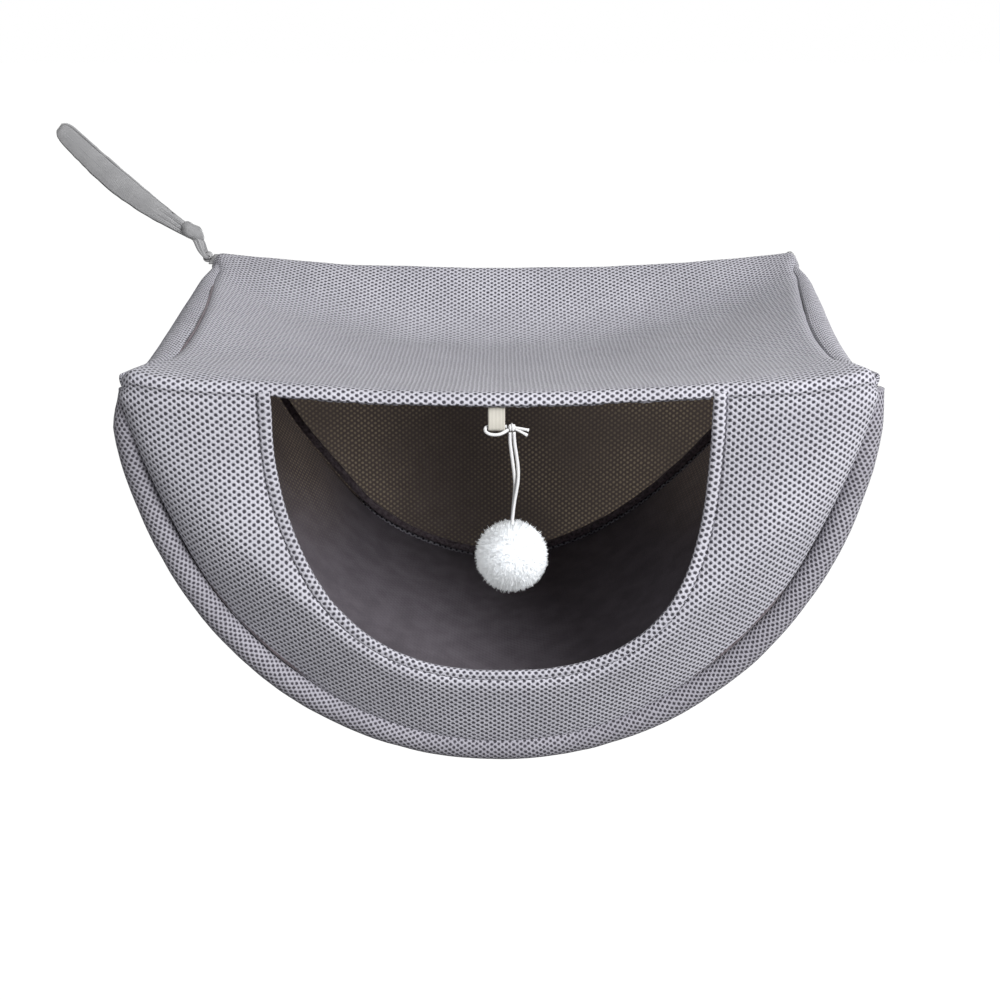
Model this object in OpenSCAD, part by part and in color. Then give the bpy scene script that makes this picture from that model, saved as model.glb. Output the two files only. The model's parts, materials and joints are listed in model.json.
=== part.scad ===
// Cat hammock: a half-round bed of spacer mesh that hangs by four corner straps,
// with a sagging roof, an open front and a pompom on an elastic cord.
// X runs to the right, Y to the rear and Z up. The origin is the middle of the plane
// through the four hanging corners, at the top of the side walls.

/* [Body] */
// Width across the side walls
body_w = 436; // [380:1:500]
// Depth of the bowl below the hanging corners
body_h = 248; // [220:1:300]
// Distance between the centres of the front and rear edge rolls
body_d = 300; // [240:1:360]
// Fullness of the front outline, where 2 is an ellipse
front_fullness = 2.05; // [1.9:0.05:2.4]
// Fullness of the rear outline, where 2 is an ellipse
rear_fullness = 1.75; // [1.7:0.05:2.4]
// Thickness of the spacer mesh
mesh_t = 5; // [3:0.5:6]
// Thickness of the smooth lining inside the bowl
lining_t = 1.5; // [1:0.25:2]
// Clearance between sewn layers
fit_gap = 0.3; // [0.2:0.05:0.4]

/* [Shoulders] */
// Height of the rounded shoulder beside the roof
shoulder_h = 12; // [10:1:16]
// Width of the shoulder at the corners
shoulder_w = 9; // [9:0.5:12]
// Extra width of the shoulder half way along the side
shoulder_bulge = 9; // [4:1:14]

/* [Roof] */
// Sag of the front edge
roof_sag_front = 8; // [4:1:16]
// Sag of the rear edge
roof_sag_rear = 8; // [4:1:14]
// Extra sag of the slack roof where it hangs lowest
roof_sag_middle = 34; // [10:1:40]
// Distance of the lowest line behind the bed's middle
roof_low_y = 60; // [0:5:80]
// Depth of the side seams below the shoulders
roof_drop = 1; // [0.5:0.5:3]
// Outer radius of the bend over the front edge
roof_bend = 7; // [6.5:0.5:8.5]
// Height that the turned hem shows below the front edge
roof_hem_show = 2; // [1:0.5:5]
// Thickness of the turned hem
roof_hem_t = 3.5; // [2:0.5:5]

/* [Front opening] */
// Width of the front panel on each side of the opening
cheek_w = 70; // [50:1:90]
// Height of the front panel below the opening
lip_h = 45; // [25:1:60]
// Height of the straight upper part of the opening's sides
opening_side_h = 24; // [20:1:40]
// Fullness of the opening's outline, where 2 is an ellipse
opening_fullness = 2.4; // [2:0.1:3]
// Width of the folded hem round the opening
hem_w = 8; // [6:0.5:10]
// Thickness of the folded hem round the opening
hem_t = 7; // [6:0.5:9]
// Forward swell of the front panel
front_bulge = 10; // [0:1:16]

/* [Edge rolls] */
// Diameter of the front and rear edge rolls
roll_d = 16; // [13:1:18]
// Thickness of the sleeve round the roll's core
roll_sleeve_t = 2.5; // [1.5:0.5:4]
// Depth of the rolls' upper ends below the hanging corners
roll_end_drop = 4; // [3:0.5:7]

/* [Seam bindings] */
// Depth along Y of the bound front and rear seams inside
binding_w = 8; // [5:1:12]
// Thickness of the bound front and rear seams inside
binding_t = 5; // [3:0.5:8]
// Width of the tape under each side seam of the roof
seam_tape_w = 10; // [6:1:15]
// Thickness of the tape under each side seam of the roof
seam_tape_t = 1.2; // [0.8:0.1:2]

/* [Straps] */
// Width of the ribbon
strap_w = 17; // [12:1:20]
// Thickness of the ribbon
strap_t = 1.2; // [0.8:0.1:2]
// Length of the rear straps from the hinge to the end
rear_strap_len = 142; // [100:1:250]
// Length of the front straps from the hinge to the end
front_strap_len = 70; // [65:1:250]
// Diameter of the bar that the loop's end takes
strap_eye_d = 6; // [4:0.5:8]
// Angle of the rear left strap, from hanging straight down
strap_raise = 131; // [0:1:200]
// Diameter of the knot
knot_d = 10; // [8:0.5:12]
// Length of the knot
knot_len = 14; // [10:1:18]
// Length of the gathered neck between the hinge and the knot
neck_len = 13; // [10:1:20]
// Diameter of the gathered ribbon where it passes through the corner loop
neck_d = 4.6; // [3:0.2:6]
// Thickness of each side of the gathered neck
neck_t = 2.2; // [1.6:0.2:3]
// Clearance between a strap and the body
strap_clear = 0.8; // [0.5:0.1:3]

/* [Corner loops] */
// Width of the loop's webbing
loop_w = 8; // [6:0.5:12]
// Thickness of the loop's webbing
loop_t = 1.6; // [1.2:0.1:2.5]
// Running clearance round the strap in the loop
loop_clear = 0.2; // [0.1:0.05:0.4]
// Distance of the rear hinges outside the side walls
rear_loop_out = 2; // [1:0.5:6]
// Distance of the front hinges behind the front roll
front_loop_back = 37; // [12:0.5:60]
// Depth of the front hinges below the hanging corners
front_loop_drop = 22; // [18:1:40]

/* [Toy] */
// Place of the tab's middle along X
toy_x = -1.5; // [-40:0.5:40]
// Width of the tab
tab_w = 9; // [7:0.5:9]
// Length of the tab below the roof's edge
tab_len = 16.5; // [12:0.5:30]
// Thickness of the doubled tab
tab_t = 2.2; // [1.6:0.2:3]
// Wall of the tab's fold round the cord
tab_fold_t = 1.3; // [0.8:0.1:2]
// Diameter of the elastic cord
cord_d = 2; // [1.2:0.1:2]
// Clearance round the cord in the tab's fold
cord_clear = 0.4; // [0.2:0.1:0.6]
// Diameter of the toy's knot
toy_knot_d = 5.2; // [4:0.2:5.2]
// Length of the cord's ends at the knot
tail_len = 9; // [5:1:14]
// Diameter of the pompom
pompom_d = 41.5; // [30:0.5:60]

/* [Hidden] */
$fn = 48;

// Steps round the bowl, over a shoulder, along the side, across the roof and across the front panel
arc_steps = 40;
shoulder_steps = 3;
side_steps = 6;
roof_steps = 16;
bend_steps = 3;
panel_steps = 4;
roll_sides = 8;
cord_sides = 8;

mesh_colour = [0.62, 0.61, 0.65];
lining_colour = [0.3, 0.28, 0.31];
binding_colour = [0.14, 0.12, 0.14];
core_colour = [0.85, 0.84, 0.8];
ribbon_colour = [0.6, 0.6, 0.6];
tab_colour = [0.8, 0.79, 0.77];
cord_colour = [0.95, 0.95, 0.95];

front_y = -(body_d + mesh_t) / 2;
rear_y = (body_d + mesh_t) / 2;
wall_end = (body_d - roll_d) / 2 - fit_gap;
bend_y = front_y + roof_bend;
panel_inset = shoulder_w + fit_gap;
lining_offset = mesh_t + fit_gap;
opening_a = body_w / 2 - panel_inset - cheek_w - hem_w - fit_gap;
opening_b = body_h - panel_inset - lip_h - hem_w - fit_gap;
stations = [for (k = [0 : side_steps]) wall_end * (1 - 2 * k / side_steps)];

// Shape of the bowl and the roof
function fullness(y) = front_fullness + (rear_fullness - front_fullness) * (y / body_d + 0.5);
function shoulder_at(y) = shoulder_w + shoulder_bulge * max(0, cos(180 * y / body_d));
function roof_half(y) = body_w / 2 - shoulder_at(y) - fit_gap;
// Share of the slack at y: it falls steeply from the rear and rises slowly to the front bend
function roof_slack(y) = y > roof_low_y
    ? max(0, sin(90 * (wall_end - y) / (wall_end - roof_low_y)))
    : max(0, 1 - pow((roof_low_y - y) / (roof_low_y - bend_y), 1.4));
function sag_at(y) =
    let (v = y / body_d + 0.5)
    roof_sag_front + (roof_sag_rear - roof_sag_front) * v + roof_sag_middle * roof_slack(y);
function roof_top(x, y) = -roof_drop - sag_at(y) * max(0, 1 - pow(x / roof_half(y), 2));
// Places across the roof at y, with one strip along each seam as wide as the tape below it
function roof_places(y) =
    let (half = roof_half(y), inner = half - seam_tape_w)
    concat([-half], [for (k = [0 : roof_steps - 2]) inner * (2 * k / (roof_steps - 2) - 1)], [half]);
function front_top(x) = roof_top(x, bend_y) - roof_bend - fit_gap;
function rear_top(x) = roof_top(x, rear_y) - mesh_t - fit_gap;

// Half-round curve in X and Z, from the right over the bottom to the left
function u_curve(half_w, depth, n, straight) = [
    for (k = [0 : arc_steps])
        let (t = 180 * k / arc_steps)
        [half_w * sign(cos(t)) * pow(abs(cos(t)), 2 / n),
         -straight - (depth - straight) * pow(sin(t), 2 / n)]
];
function rim_curve(inset, n) = u_curve(body_w / 2 - inset, body_h - inset, n, shoulder_h);
function opening_curve(outset) =
    u_curve(opening_a + outset, opening_b + outset, opening_fullness, opening_side_h);
// The same curve with a straight run up to a height at both ends
function raised(curve, z_right, z_left) =
    concat([[curve[0].x, z_right]], curve, [[curve[arc_steps].x, z_left]]);
function to_front(curve) = raised(curve, front_top(curve[0].x), front_top(curve[arc_steps].x));
function to_roll_end(curve) = raised(curve, -roll_end_drop, -roll_end_drop);

// One cross-section of the bowl's wall at y, moved inwards, with both shoulders
function wall_section(y, inset) = concat(
    [for (k = [0 : shoulder_steps - 1]) shoulder_point(1, 90 - 90 * k / shoulder_steps, y, inset)],
    [for (p = rim_curve(inset, fullness(y))) [p.x, y, p.y]],
    [for (k = [1 : shoulder_steps]) shoulder_point(-1, 90 * k / shoulder_steps, y, inset)]
);
function shoulder_point(side, turn, y, inset) =
    let (w = shoulder_at(y))
    [side * (body_w / 2 - w + (w - inset) * cos(turn)), y, -shoulder_h + (shoulder_h - inset) * sin(turn)];

// Closed sheet between two grids of points with the same rows and columns
function quad(a, b, c, d) = [[a, b, c], [a, c, d]];
module sheet(top, bottom) {
    rows = len(top);
    cols = len(top[0]);
    n = rows * cols;
    upper = [
        for (i = [0 : rows - 2]) for (j = [0 : cols - 2])
            each quad(i * cols + j, i * cols + j + 1, (i + 1) * cols + j + 1, (i + 1) * cols + j)
    ];
    lower = [for (f = upper) [f[0] + n, f[2] + n, f[1] + n]];
    first = [for (j = [0 : cols - 2]) each quad(j + 1, j, n + j, n + j + 1)];
    last_row = n - cols;
    last = [for (j = [last_row : n - 2]) each quad(j, j + 1, n + j + 1, n + j)];
    start = [for (i = [0 : rows - 2]) each quad(i * cols, (i + 1) * cols, n + (i + 1) * cols, n + i * cols)];
    finish = [
        for (i = [1 : rows - 1])
            each quad((i + 1) * cols - 1, i * cols - 1, n + i * cols - 1, n + (i + 1) * cols - 1)
    ];
    polyhedron([for (r = concat(top, bottom)) each r], concat(upper, lower, first, last, start, finish));
}

// Tube through rings of points, and a sleeve between an outer and an inner set of rings
function tube_walls(rings, sides) = [
    for (i = [0 : rings - 2]) for (j = [0 : sides - 1])
        let (k = (j + 1) % sides)
        each quad(i * sides + j, i * sides + k, (i + 1) * sides + k, (i + 1) * sides + j)
];
module tube(rings) {
    sides = len(rings[0]);
    far = (len(rings) - 1) * sides;
    ends = [[for (j = [1 : sides]) sides - j], [for (j = [0 : sides - 1]) far + j]];
    polyhedron([for (r = rings) each r], concat(tube_walls(len(rings), sides), ends));
}
module sleeve(outer, inner) {
    sides = len(outer[0]);
    n = len(outer) * sides;
    far = n - sides;
    outside = tube_walls(len(outer), sides);
    inside = [for (f = outside) [f[0] + n, f[2] + n, f[1] + n]];
    near_end = [
        for (j = [0 : sides - 1]) let (k = (j + 1) % sides) each quad(k, j, n + j, n + k)
    ];
    far_end = [
        for (j = [far : n - 1]) let (k = j == n - 1 ? far : j + 1) each quad(j, k, n + k, n + j)
    ];
    polyhedron([for (r = concat(outer, inner)) each r], concat(outside, inside, near_end, far_end));
}
// Rings between two curves that lie in a plane across Y
function rings_between(inner, outer, y, half_t) = [
    for (i = [0 : len(inner) - 1])
        let (middle = (inner[i] + outer[i]) / 2, half = (outer[i] - inner[i]) / 2)
        [for (j = [0 : roll_sides - 1])
            let (turn = 360 * j / roll_sides, p = middle + half * cos(turn))
            [p.x, y + half_t * sin(turn), p.y]]
];
// Rings square to a route, with one direction that the rings keep level
function route_rings(route, radius, level) = [
    for (i = [0 : len(route) - 1])
        let (
            along = route[min(i + 1, len(route) - 1)] - route[max(i - 1, 0)],
            t = along / norm(along),
            side = cross(t, level),
            n1 = side / norm(side),
            n2 = cross(n1, t)
        )
        [for (j = [0 : cord_sides - 1])
            let (turn = 360 * j / cord_sides)
            route[i] + radius * (n1 * cos(turn) + n2 * sin(turn))]
];
// Flat plate across Y, from an outline in X and Z, that ends at y_far
module plate(outline, thickness, y_far) {
    translate([0, y_far, 0]) rotate([90, 0, 0]) linear_extrude(thickness) polygon(outline);
}

// Sewn body
module roof_panel() {
    function row(y, z_off) = [for (x = roof_places(y)) [x, y, roof_top(x, y) + z_off]];
    function bend_row(turn, radius) = [
        for (p = row(bend_y, -roof_bend)) [p.x, bend_y - radius * cos(turn), p.z + radius * sin(turn)]
    ];
    rows_y = concat([rear_y], stations);
    turns = [for (k = [0 : bend_steps]) 90 - 90 * k / bend_steps];
    top = concat([for (y = rows_y) row(y, 0)], [for (t = turns) bend_row(t, roof_bend)]);
    bottom = concat([for (y = rows_y) row(y, -mesh_t)], [for (t = turns) bend_row(t, roof_bend - mesh_t)]);
    color(mesh_colour) sheet(top, bottom);
}
module bowl_layer(outer_inset, thickness) {
    outer = [for (y = stations) wall_section(y, outer_inset)];
    inner = [for (y = stations) wall_section(y, outer_inset + thickness)];
    sheet(outer, inner);
}
module body_wall() { color(mesh_colour) bowl_layer(0, mesh_t); }
module body_lining() { color(lining_colour) bowl_layer(lining_offset, lining_t); }
module front_panel() {
    inner = to_front(opening_curve(hem_w + fit_gap));
    outer = to_front(rim_curve(panel_inset, front_fullness));
    top_edge = [0, len(inner) - 1];
    function swell(i, r) = front_bulge * sin(180 * r) * (0.4 + 0.6 * sin(180 * i / top_edge[1]));
    function point(i, r, back) =
        let (
            p = inner[i] + (outer[i] - inner[i]) * r,
            z = i == top_edge[0] || i == top_edge[1] ? front_top(p.x) : p.y
        )
        [p.x, front_y - swell(i, r) + back, z];
    function grid(back) = [
        for (i = [0 : top_edge[1]]) [for (k = [0 : panel_steps]) point(i, k / panel_steps, back)]
    ];
    color(mesh_colour) sheet(grid(0), grid(mesh_t));
}
module rear_panel() {
    rim = rim_curve(panel_inset, rear_fullness);
    half = rim[0].x;
    edge = [
        for (k = [0 : roof_steps]) let (x = half * (2 * k / roof_steps - 1)) [x, rear_top(x)]
    ];
    color(mesh_colour) plate(concat(rim, edge), mesh_t, rear_y);
}
module edge_roll(y, n) {
    function rings(wall) = rings_between(
        to_roll_end(rim_curve(shoulder_w - wall, n)),
        to_roll_end(rim_curve(shoulder_w - roll_d + wall, n)), y, roll_d / 2 - wall
    );
    color(mesh_colour) sleeve(rings(0), rings(roll_sleeve_t));
}
module roll_core(y, n) {
    wall = roll_sleeve_t + fit_gap;
    color(core_colour) tube(rings_between(
        to_roll_end(rim_curve(shoulder_w - wall, n)),
        to_roll_end(rim_curve(shoulder_w - roll_d + wall, n)), y, roll_d / 2 - wall
    ));
}
module opening_hem() {
    color(mesh_colour) tube(rings_between(
        to_front(opening_curve(0)), to_front(opening_curve(hem_w)), -body_d / 2, hem_t / 2
    ));
}
module roof_front_hem() {
    half = opening_a - fit_gap;
    hem_y = front_y + mesh_t + fit_gap;
    function row(y, z_off) = [
        for (k = [0 : roof_steps])
            let (x = half * (2 * k / roof_steps - 1))
            [x, y, roof_top(x, bend_y) - roof_bend + z_off]
    ];
    function rows(z_off) = [row(hem_y + roof_hem_t, z_off), row(hem_y, z_off)];
    color(mesh_colour) sheet(rows(fit_gap), rows(-roof_hem_show));
}
module seam_binding(y_far, n) {
    outer = rim_curve(panel_inset, n);
    inner = rim_curve(panel_inset + binding_t, n);
    back = [for (k = [0 : arc_steps]) inner[arc_steps - k]];
    color(binding_colour) plate(concat(outer, back), binding_w, y_far);
}
module roof_seam_tape(first) {
    function row(y, z_off) =
        let (places = roof_places(y))
        [for (x = [places[first], places[first + 1]]) [x, y, roof_top(x, y) - lining_offset + z_off]];
    color(binding_colour) sheet([for (y = stations) row(y, 0)], [for (y = stations) row(y, -seam_tape_t)]);
}

// Corner loops, with the hinge line of each strap along Y
neck_r = neck_d / 2;
eye_r = neck_r + loop_clear;
ring_r = eye_r + loop_t;
yoke_half = loop_w / 2 + strap_clear + neck_t;
strap_end_r = strap_eye_d / 2 + strap_t;
rear_hinge = [
    body_w / 2 + rear_loop_out,
    (body_d + roll_d) / 2 + yoke_half + strap_clear,
    fit_gap - roll_end_drop + loop_t / 2
];
front_hinge = [
    body_w / 2 + max(knot_d / 2, strap_end_r) + strap_clear,
    -(body_d - roll_d) / 2 + front_loop_back,
    -front_loop_drop
];
module loop_eye(hinge, seat_x) {
    color(ribbon_colour) difference() {
        union() {
            translate(hinge) rotate([90, 0, 0]) cylinder(h = loop_w, r = ring_r, center = true);
            translate([seat_x, hinge.y - loop_w / 2, hinge.z - loop_t / 2])
                cube([hinge.x - seat_x, loop_w, loop_t]);
            children();
        }
        translate(hinge) rotate([90, 0, 0]) cylinder(h = loop_w + 1, r = eye_r, center = true);
    }
}
module corner_loop_rear() {
    seat_x = body_w / 2 - shoulder_w;
    seat_y = (body_d - roll_d) / 2;
    loop_eye(rear_hinge, seat_x)
        translate([seat_x, seat_y, rear_hinge.z - loop_t / 2])
            cube([rear_hinge.x - ring_r - seat_x, rear_hinge.y + loop_w / 2 - seat_y, loop_t]);
}
module corner_loop_front() { loop_eye(front_hinge, body_w / 2 + fit_gap); }

// Straps, drawn along X from the hinge and then turned about it
module strap_profile(length) {
    start = neck_len + knot_len / 2;
    eye_x = length - strap_end_r;
    difference() {
        union() {
            translate([eye_x, 0]) circle(r = strap_end_r);
            polygon([[start, -strap_t], [eye_x, -strap_end_r], [eye_x, strap_end_r], [start, strap_t]]);
        }
        translate([eye_x, 0]) circle(d = strap_eye_d);
        polygon([[start + knot_len, 0], [eye_x, -strap_eye_d / 2], [eye_x, strap_eye_d / 2]]);
    }
}
module strap_loop(length) {
    start = neck_len + knot_len / 2;
    full = start + 1.5 * strap_w;
    intersection() {
        translate([0, 0, -strap_w / 2]) linear_extrude(strap_w) strap_profile(length);
        rotate([90, 0, 0]) linear_extrude(2 * strap_end_r + 1, center = true) polygon([
            [start, -neck_r], [full, -strap_w / 2], [length, -strap_w / 2],
            [length, strap_w / 2], [full, strap_w / 2], [start, neck_r]
        ]);
    }
}
module strap(length, flat_turn) {
    inner_y = loop_w / 2 + strap_clear;
    cross_x = ring_r + strap_clear;
    knot_run = knot_len - knot_d;
    color(ribbon_colour) union() {
        rotate([90, 0, 0]) cylinder(h = 2 * yoke_half, r = neck_r, center = true);
        translate([0, 0, -neck_t / 2]) linear_extrude(neck_t) polygon([
            [0, -yoke_half], [neck_len + knot_d / 2, -neck_r], [neck_len + knot_d / 2, neck_r],
            [0, yoke_half], [0, inner_y], [cross_x, inner_y], [cross_x, -inner_y], [0, -inner_y]
        ]);
        translate([neck_len + knot_d / 2, 0, 0]) {
            sphere(d = knot_d);
            rotate([0, 90, 0]) cylinder(h = knot_run, d = knot_d);
            translate([knot_run, 0, 0]) sphere(d = knot_d);
        }
        rotate([flat_turn, 0, 0]) strap_loop(length);
    }
}
module strap_front() {
    translate([-front_hinge.x, front_hinge.y, front_hinge.z])
        rotate([0, 90, 0]) strap(front_strap_len, 90);
}
module strap_rear(raise) {
    translate([-rear_hinge.x, rear_hinge.y, rear_hinge.z])
        rotate([0, 90 + raise, 0]) strap(rear_strap_len, 0);
}
module right() { mirror([1, 0, 0]) children(); }

// Toy: the cord's routes are points from the tab's fold and from the knot
fold_r = cord_d / 2 + cord_clear + tab_fold_t;
tab_top = front_top(toy_x);
toy_eye = [toy_x, -body_d / 2, tab_top - tab_len + fold_r];
knot_at = toy_eye + [9, 0, -0.5];
loop_route = [
    [6, 0, 0], [4, 0, 0], [2, 0, 0], [0, 0, 0], [-2, 0, 0], [-4, 0, 0], [-5, 0, 0],
    [-6, -0.5, -0.2], [-6.7, -1.5, -0.8], [-6.6, -2.8, -1.8], [-5.6, -3.8, -2.6], [-4, -4.4, -3.2],
    [-2, -4.6, -3.5], [0, -4.6, -3.5], [2, -4.4, -3.2], [4, -3.8, -2.5], [5.6, -2.8, -1.8], [6.6, -2, -1.2]
];
right_route = [
    [1.2, 0, -3], [1.4, 0, -7], [1.8, 0, -11], [2.4, 0, -15], [3, 0, -19], [3.5, -0.1, -23],
    [3.8, -0.3, -27], [3.8, -0.6, -31], [3.5, -0.9, -35], [2.9, -1.1, -39], [2.2, -1.2, -43], [1.6, -1.2, -47],
    [1.1, -1.2, -51], [0.7, -1.2, -55], [0.4, -1.2, -59], [0.3, -1.2, -61]
];
left_route = [
    [-1.2, 0, -3], [-1.2, 0, -7], [-0.9, 0, -11], [-0.4, 0, -15], [0.1, 0, -19], [0.6, 0.1, -23],
    [1.1, 0.3, -27], [1.5, 0.6, -31], [1.8, 0.9, -35], [1.8, 1.1, -39], [1.6, 1.2, -43], [1.3, 1.2, -47],
    [0.9, 1.2, -51], [0.6, 1.2, -55], [0.4, 1.2, -59], [0.3, 1.2, -61]
];
module cord_along(route, start, level) {
    color(cord_colour) tube(route_rings([for (p = route) start + p], cord_d / 2, level));
}
module toy_tab() {
    color(tab_colour) difference() {
        union() {
            translate([toy_x - tab_w / 2, toy_eye.y - tab_t / 2, toy_eye.z])
                cube([tab_w, tab_t, tab_top - toy_eye.z]);
            translate(toy_eye) rotate([0, 90, 0]) cylinder(h = tab_w, r = fold_r, center = true);
        }
        translate(toy_eye) rotate([0, 90, 0])
            cylinder(h = tab_w + 1, r = cord_d / 2 + cord_clear, center = true);
    }
}
module toy_cord_loop() { cord_along(loop_route, toy_eye, [0, 0, 1]); }
module toy_strand_left() { cord_along(left_route, knot_at, [0, 1, 0]); }
module toy_strand_right() { cord_along(right_route, knot_at, [0, 1, 0]); }
module toy_knot() {
    color(cord_colour) translate(knot_at) {
        sphere(d = toy_knot_d);
        for (turn = [97, 116])
            rotate([0, turn, 0])
                translate([0, 0, toy_knot_d / 2 - 0.5])
                    cylinder(h = tail_len, d = cord_d - 2 * fit_gap);
    }
}
module pompom() {
    strand_end = knot_at + right_route[len(right_route) - 1];
    centre = [knot_at.x, knot_at.y, strand_end.z - fit_gap - pompom_d / 2];
    color(cord_colour) translate(centre) sphere(d = pompom_d);
}

roof_panel();
body_wall();
body_lining();
front_panel();
rear_panel();
edge_roll(-body_d / 2, front_fullness);  // front_edge_roll
roll_core(-body_d / 2, front_fullness);  // front_roll_core
edge_roll(body_d / 2, rear_fullness);  // rear_edge_roll
roll_core(body_d / 2, rear_fullness);  // rear_roll_core
opening_hem();
roof_front_hem();
seam_binding(front_y + lining_offset + binding_w, front_fullness);  // front_seam_binding
seam_binding(rear_y - lining_offset, rear_fullness);  // rear_seam_binding
roof_seam_tape(0);  // roof_seam_tape_left
roof_seam_tape(roof_steps - 1);  // roof_seam_tape_right
right() corner_loop_front();  // corner_loop_front_left
corner_loop_front();  // corner_loop_front_right
right() corner_loop_rear();  // corner_loop_rear_left
corner_loop_rear();  // corner_loop_rear_right
strap_front();  // strap_front_left
right() strap_front();  // strap_front_right
strap_rear(strap_raise);  // strap_rear_left
right() strap_rear(0);  // strap_rear_right
toy_tab();
toy_cord_loop();
toy_knot();
toy_strand_left();
toy_strand_right();
pompom();
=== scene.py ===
"""Dresses the cat hammock: spacer mesh, lining, rolls, straps and toy, in a plain studio."""

import json
import logging
import math
import random
from dataclasses import dataclass, field
from enum import Enum
from typing import Callable, Sequence

import bmesh
import bpy
from mathutils import Matrix, Vector, noise

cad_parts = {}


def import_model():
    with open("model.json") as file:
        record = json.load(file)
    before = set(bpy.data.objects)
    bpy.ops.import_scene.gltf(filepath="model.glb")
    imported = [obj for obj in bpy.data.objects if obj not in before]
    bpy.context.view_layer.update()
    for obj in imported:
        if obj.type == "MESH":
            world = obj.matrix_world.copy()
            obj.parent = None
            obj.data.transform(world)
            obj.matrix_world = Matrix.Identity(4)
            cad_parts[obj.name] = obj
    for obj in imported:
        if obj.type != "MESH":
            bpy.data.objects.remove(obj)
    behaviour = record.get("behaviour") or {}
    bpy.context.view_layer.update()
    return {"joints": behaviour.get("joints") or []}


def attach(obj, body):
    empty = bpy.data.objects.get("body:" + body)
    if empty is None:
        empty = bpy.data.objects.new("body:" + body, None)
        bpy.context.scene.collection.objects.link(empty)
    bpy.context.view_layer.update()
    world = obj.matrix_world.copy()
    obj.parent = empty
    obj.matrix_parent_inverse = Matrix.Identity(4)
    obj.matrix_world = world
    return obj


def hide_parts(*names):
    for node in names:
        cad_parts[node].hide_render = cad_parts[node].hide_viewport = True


LOG = logging.getLogger("hammock")
MM = 0.001
Colour = tuple[float, float, float]
Spot = Callable[[float, float], Vector]
Flat = Callable[[float, float], tuple[float, float]]
AXIS_X = Vector((1, 0, 0))
AXIS_Y = Vector((0, 1, 0))
AXIS_Z = Vector((0, 0, 1))


class Side(Enum):
    """A side of the bed, as its sign along X."""

    LEFT = -1
    RIGHT = 1

    @property
    def word(self) -> str:
        """The side as it stands in the names of pieces."""
        return self.name.lower()


class Hang(Enum):
    """How a sheet is held, in the words that the frame knows."""

    HUNG = "hung"
    STRETCHED = "stretched"


def ease(low: float, high: float, at: float) -> float:
    """Smooth step from 0 at low to 1 at high.

    Args:
        low: Where the step starts.
        high: Where the step ends; it may lie below low.
        at: The place along the step.

    Returns:
        A share from 0 to 1.
    """
    share = min(1.0, max(0.0, (at - low) / (high - low)))
    return share * share * (3 - 2 * share)


def waver(x: float, y: float, z: float, size: float) -> float:
    """Even noise for cloth that isn't quite true.

    Args:
        x: Place along X in millimetres.
        y: Place along Y in millimetres.
        z: Place along Z in millimetres.
        size: Width of a wave in millimetres.

    Returns:
        A value from about -1 to 1.
    """
    return noise.noise(Vector((x, y, z)) / size)


def mirror(wanted: bool) -> Matrix:
    """A mirror across the bed's middle plane, or no move."""
    return Matrix.Scale(-1, 4, AXIS_X) if wanted else Matrix()


def linear(red: float, green: float, blue: float) -> Colour:
    """A screen colour from 0 to 255 as linear light."""

    def one(level: float) -> float:
        """One channel as linear light."""
        share = level / 255
        return share / 12.92 if share <= 0.04045 else ((share + 0.055) / 1.055) ** 2.4

    return one(red), one(green), one(blue)


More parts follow.
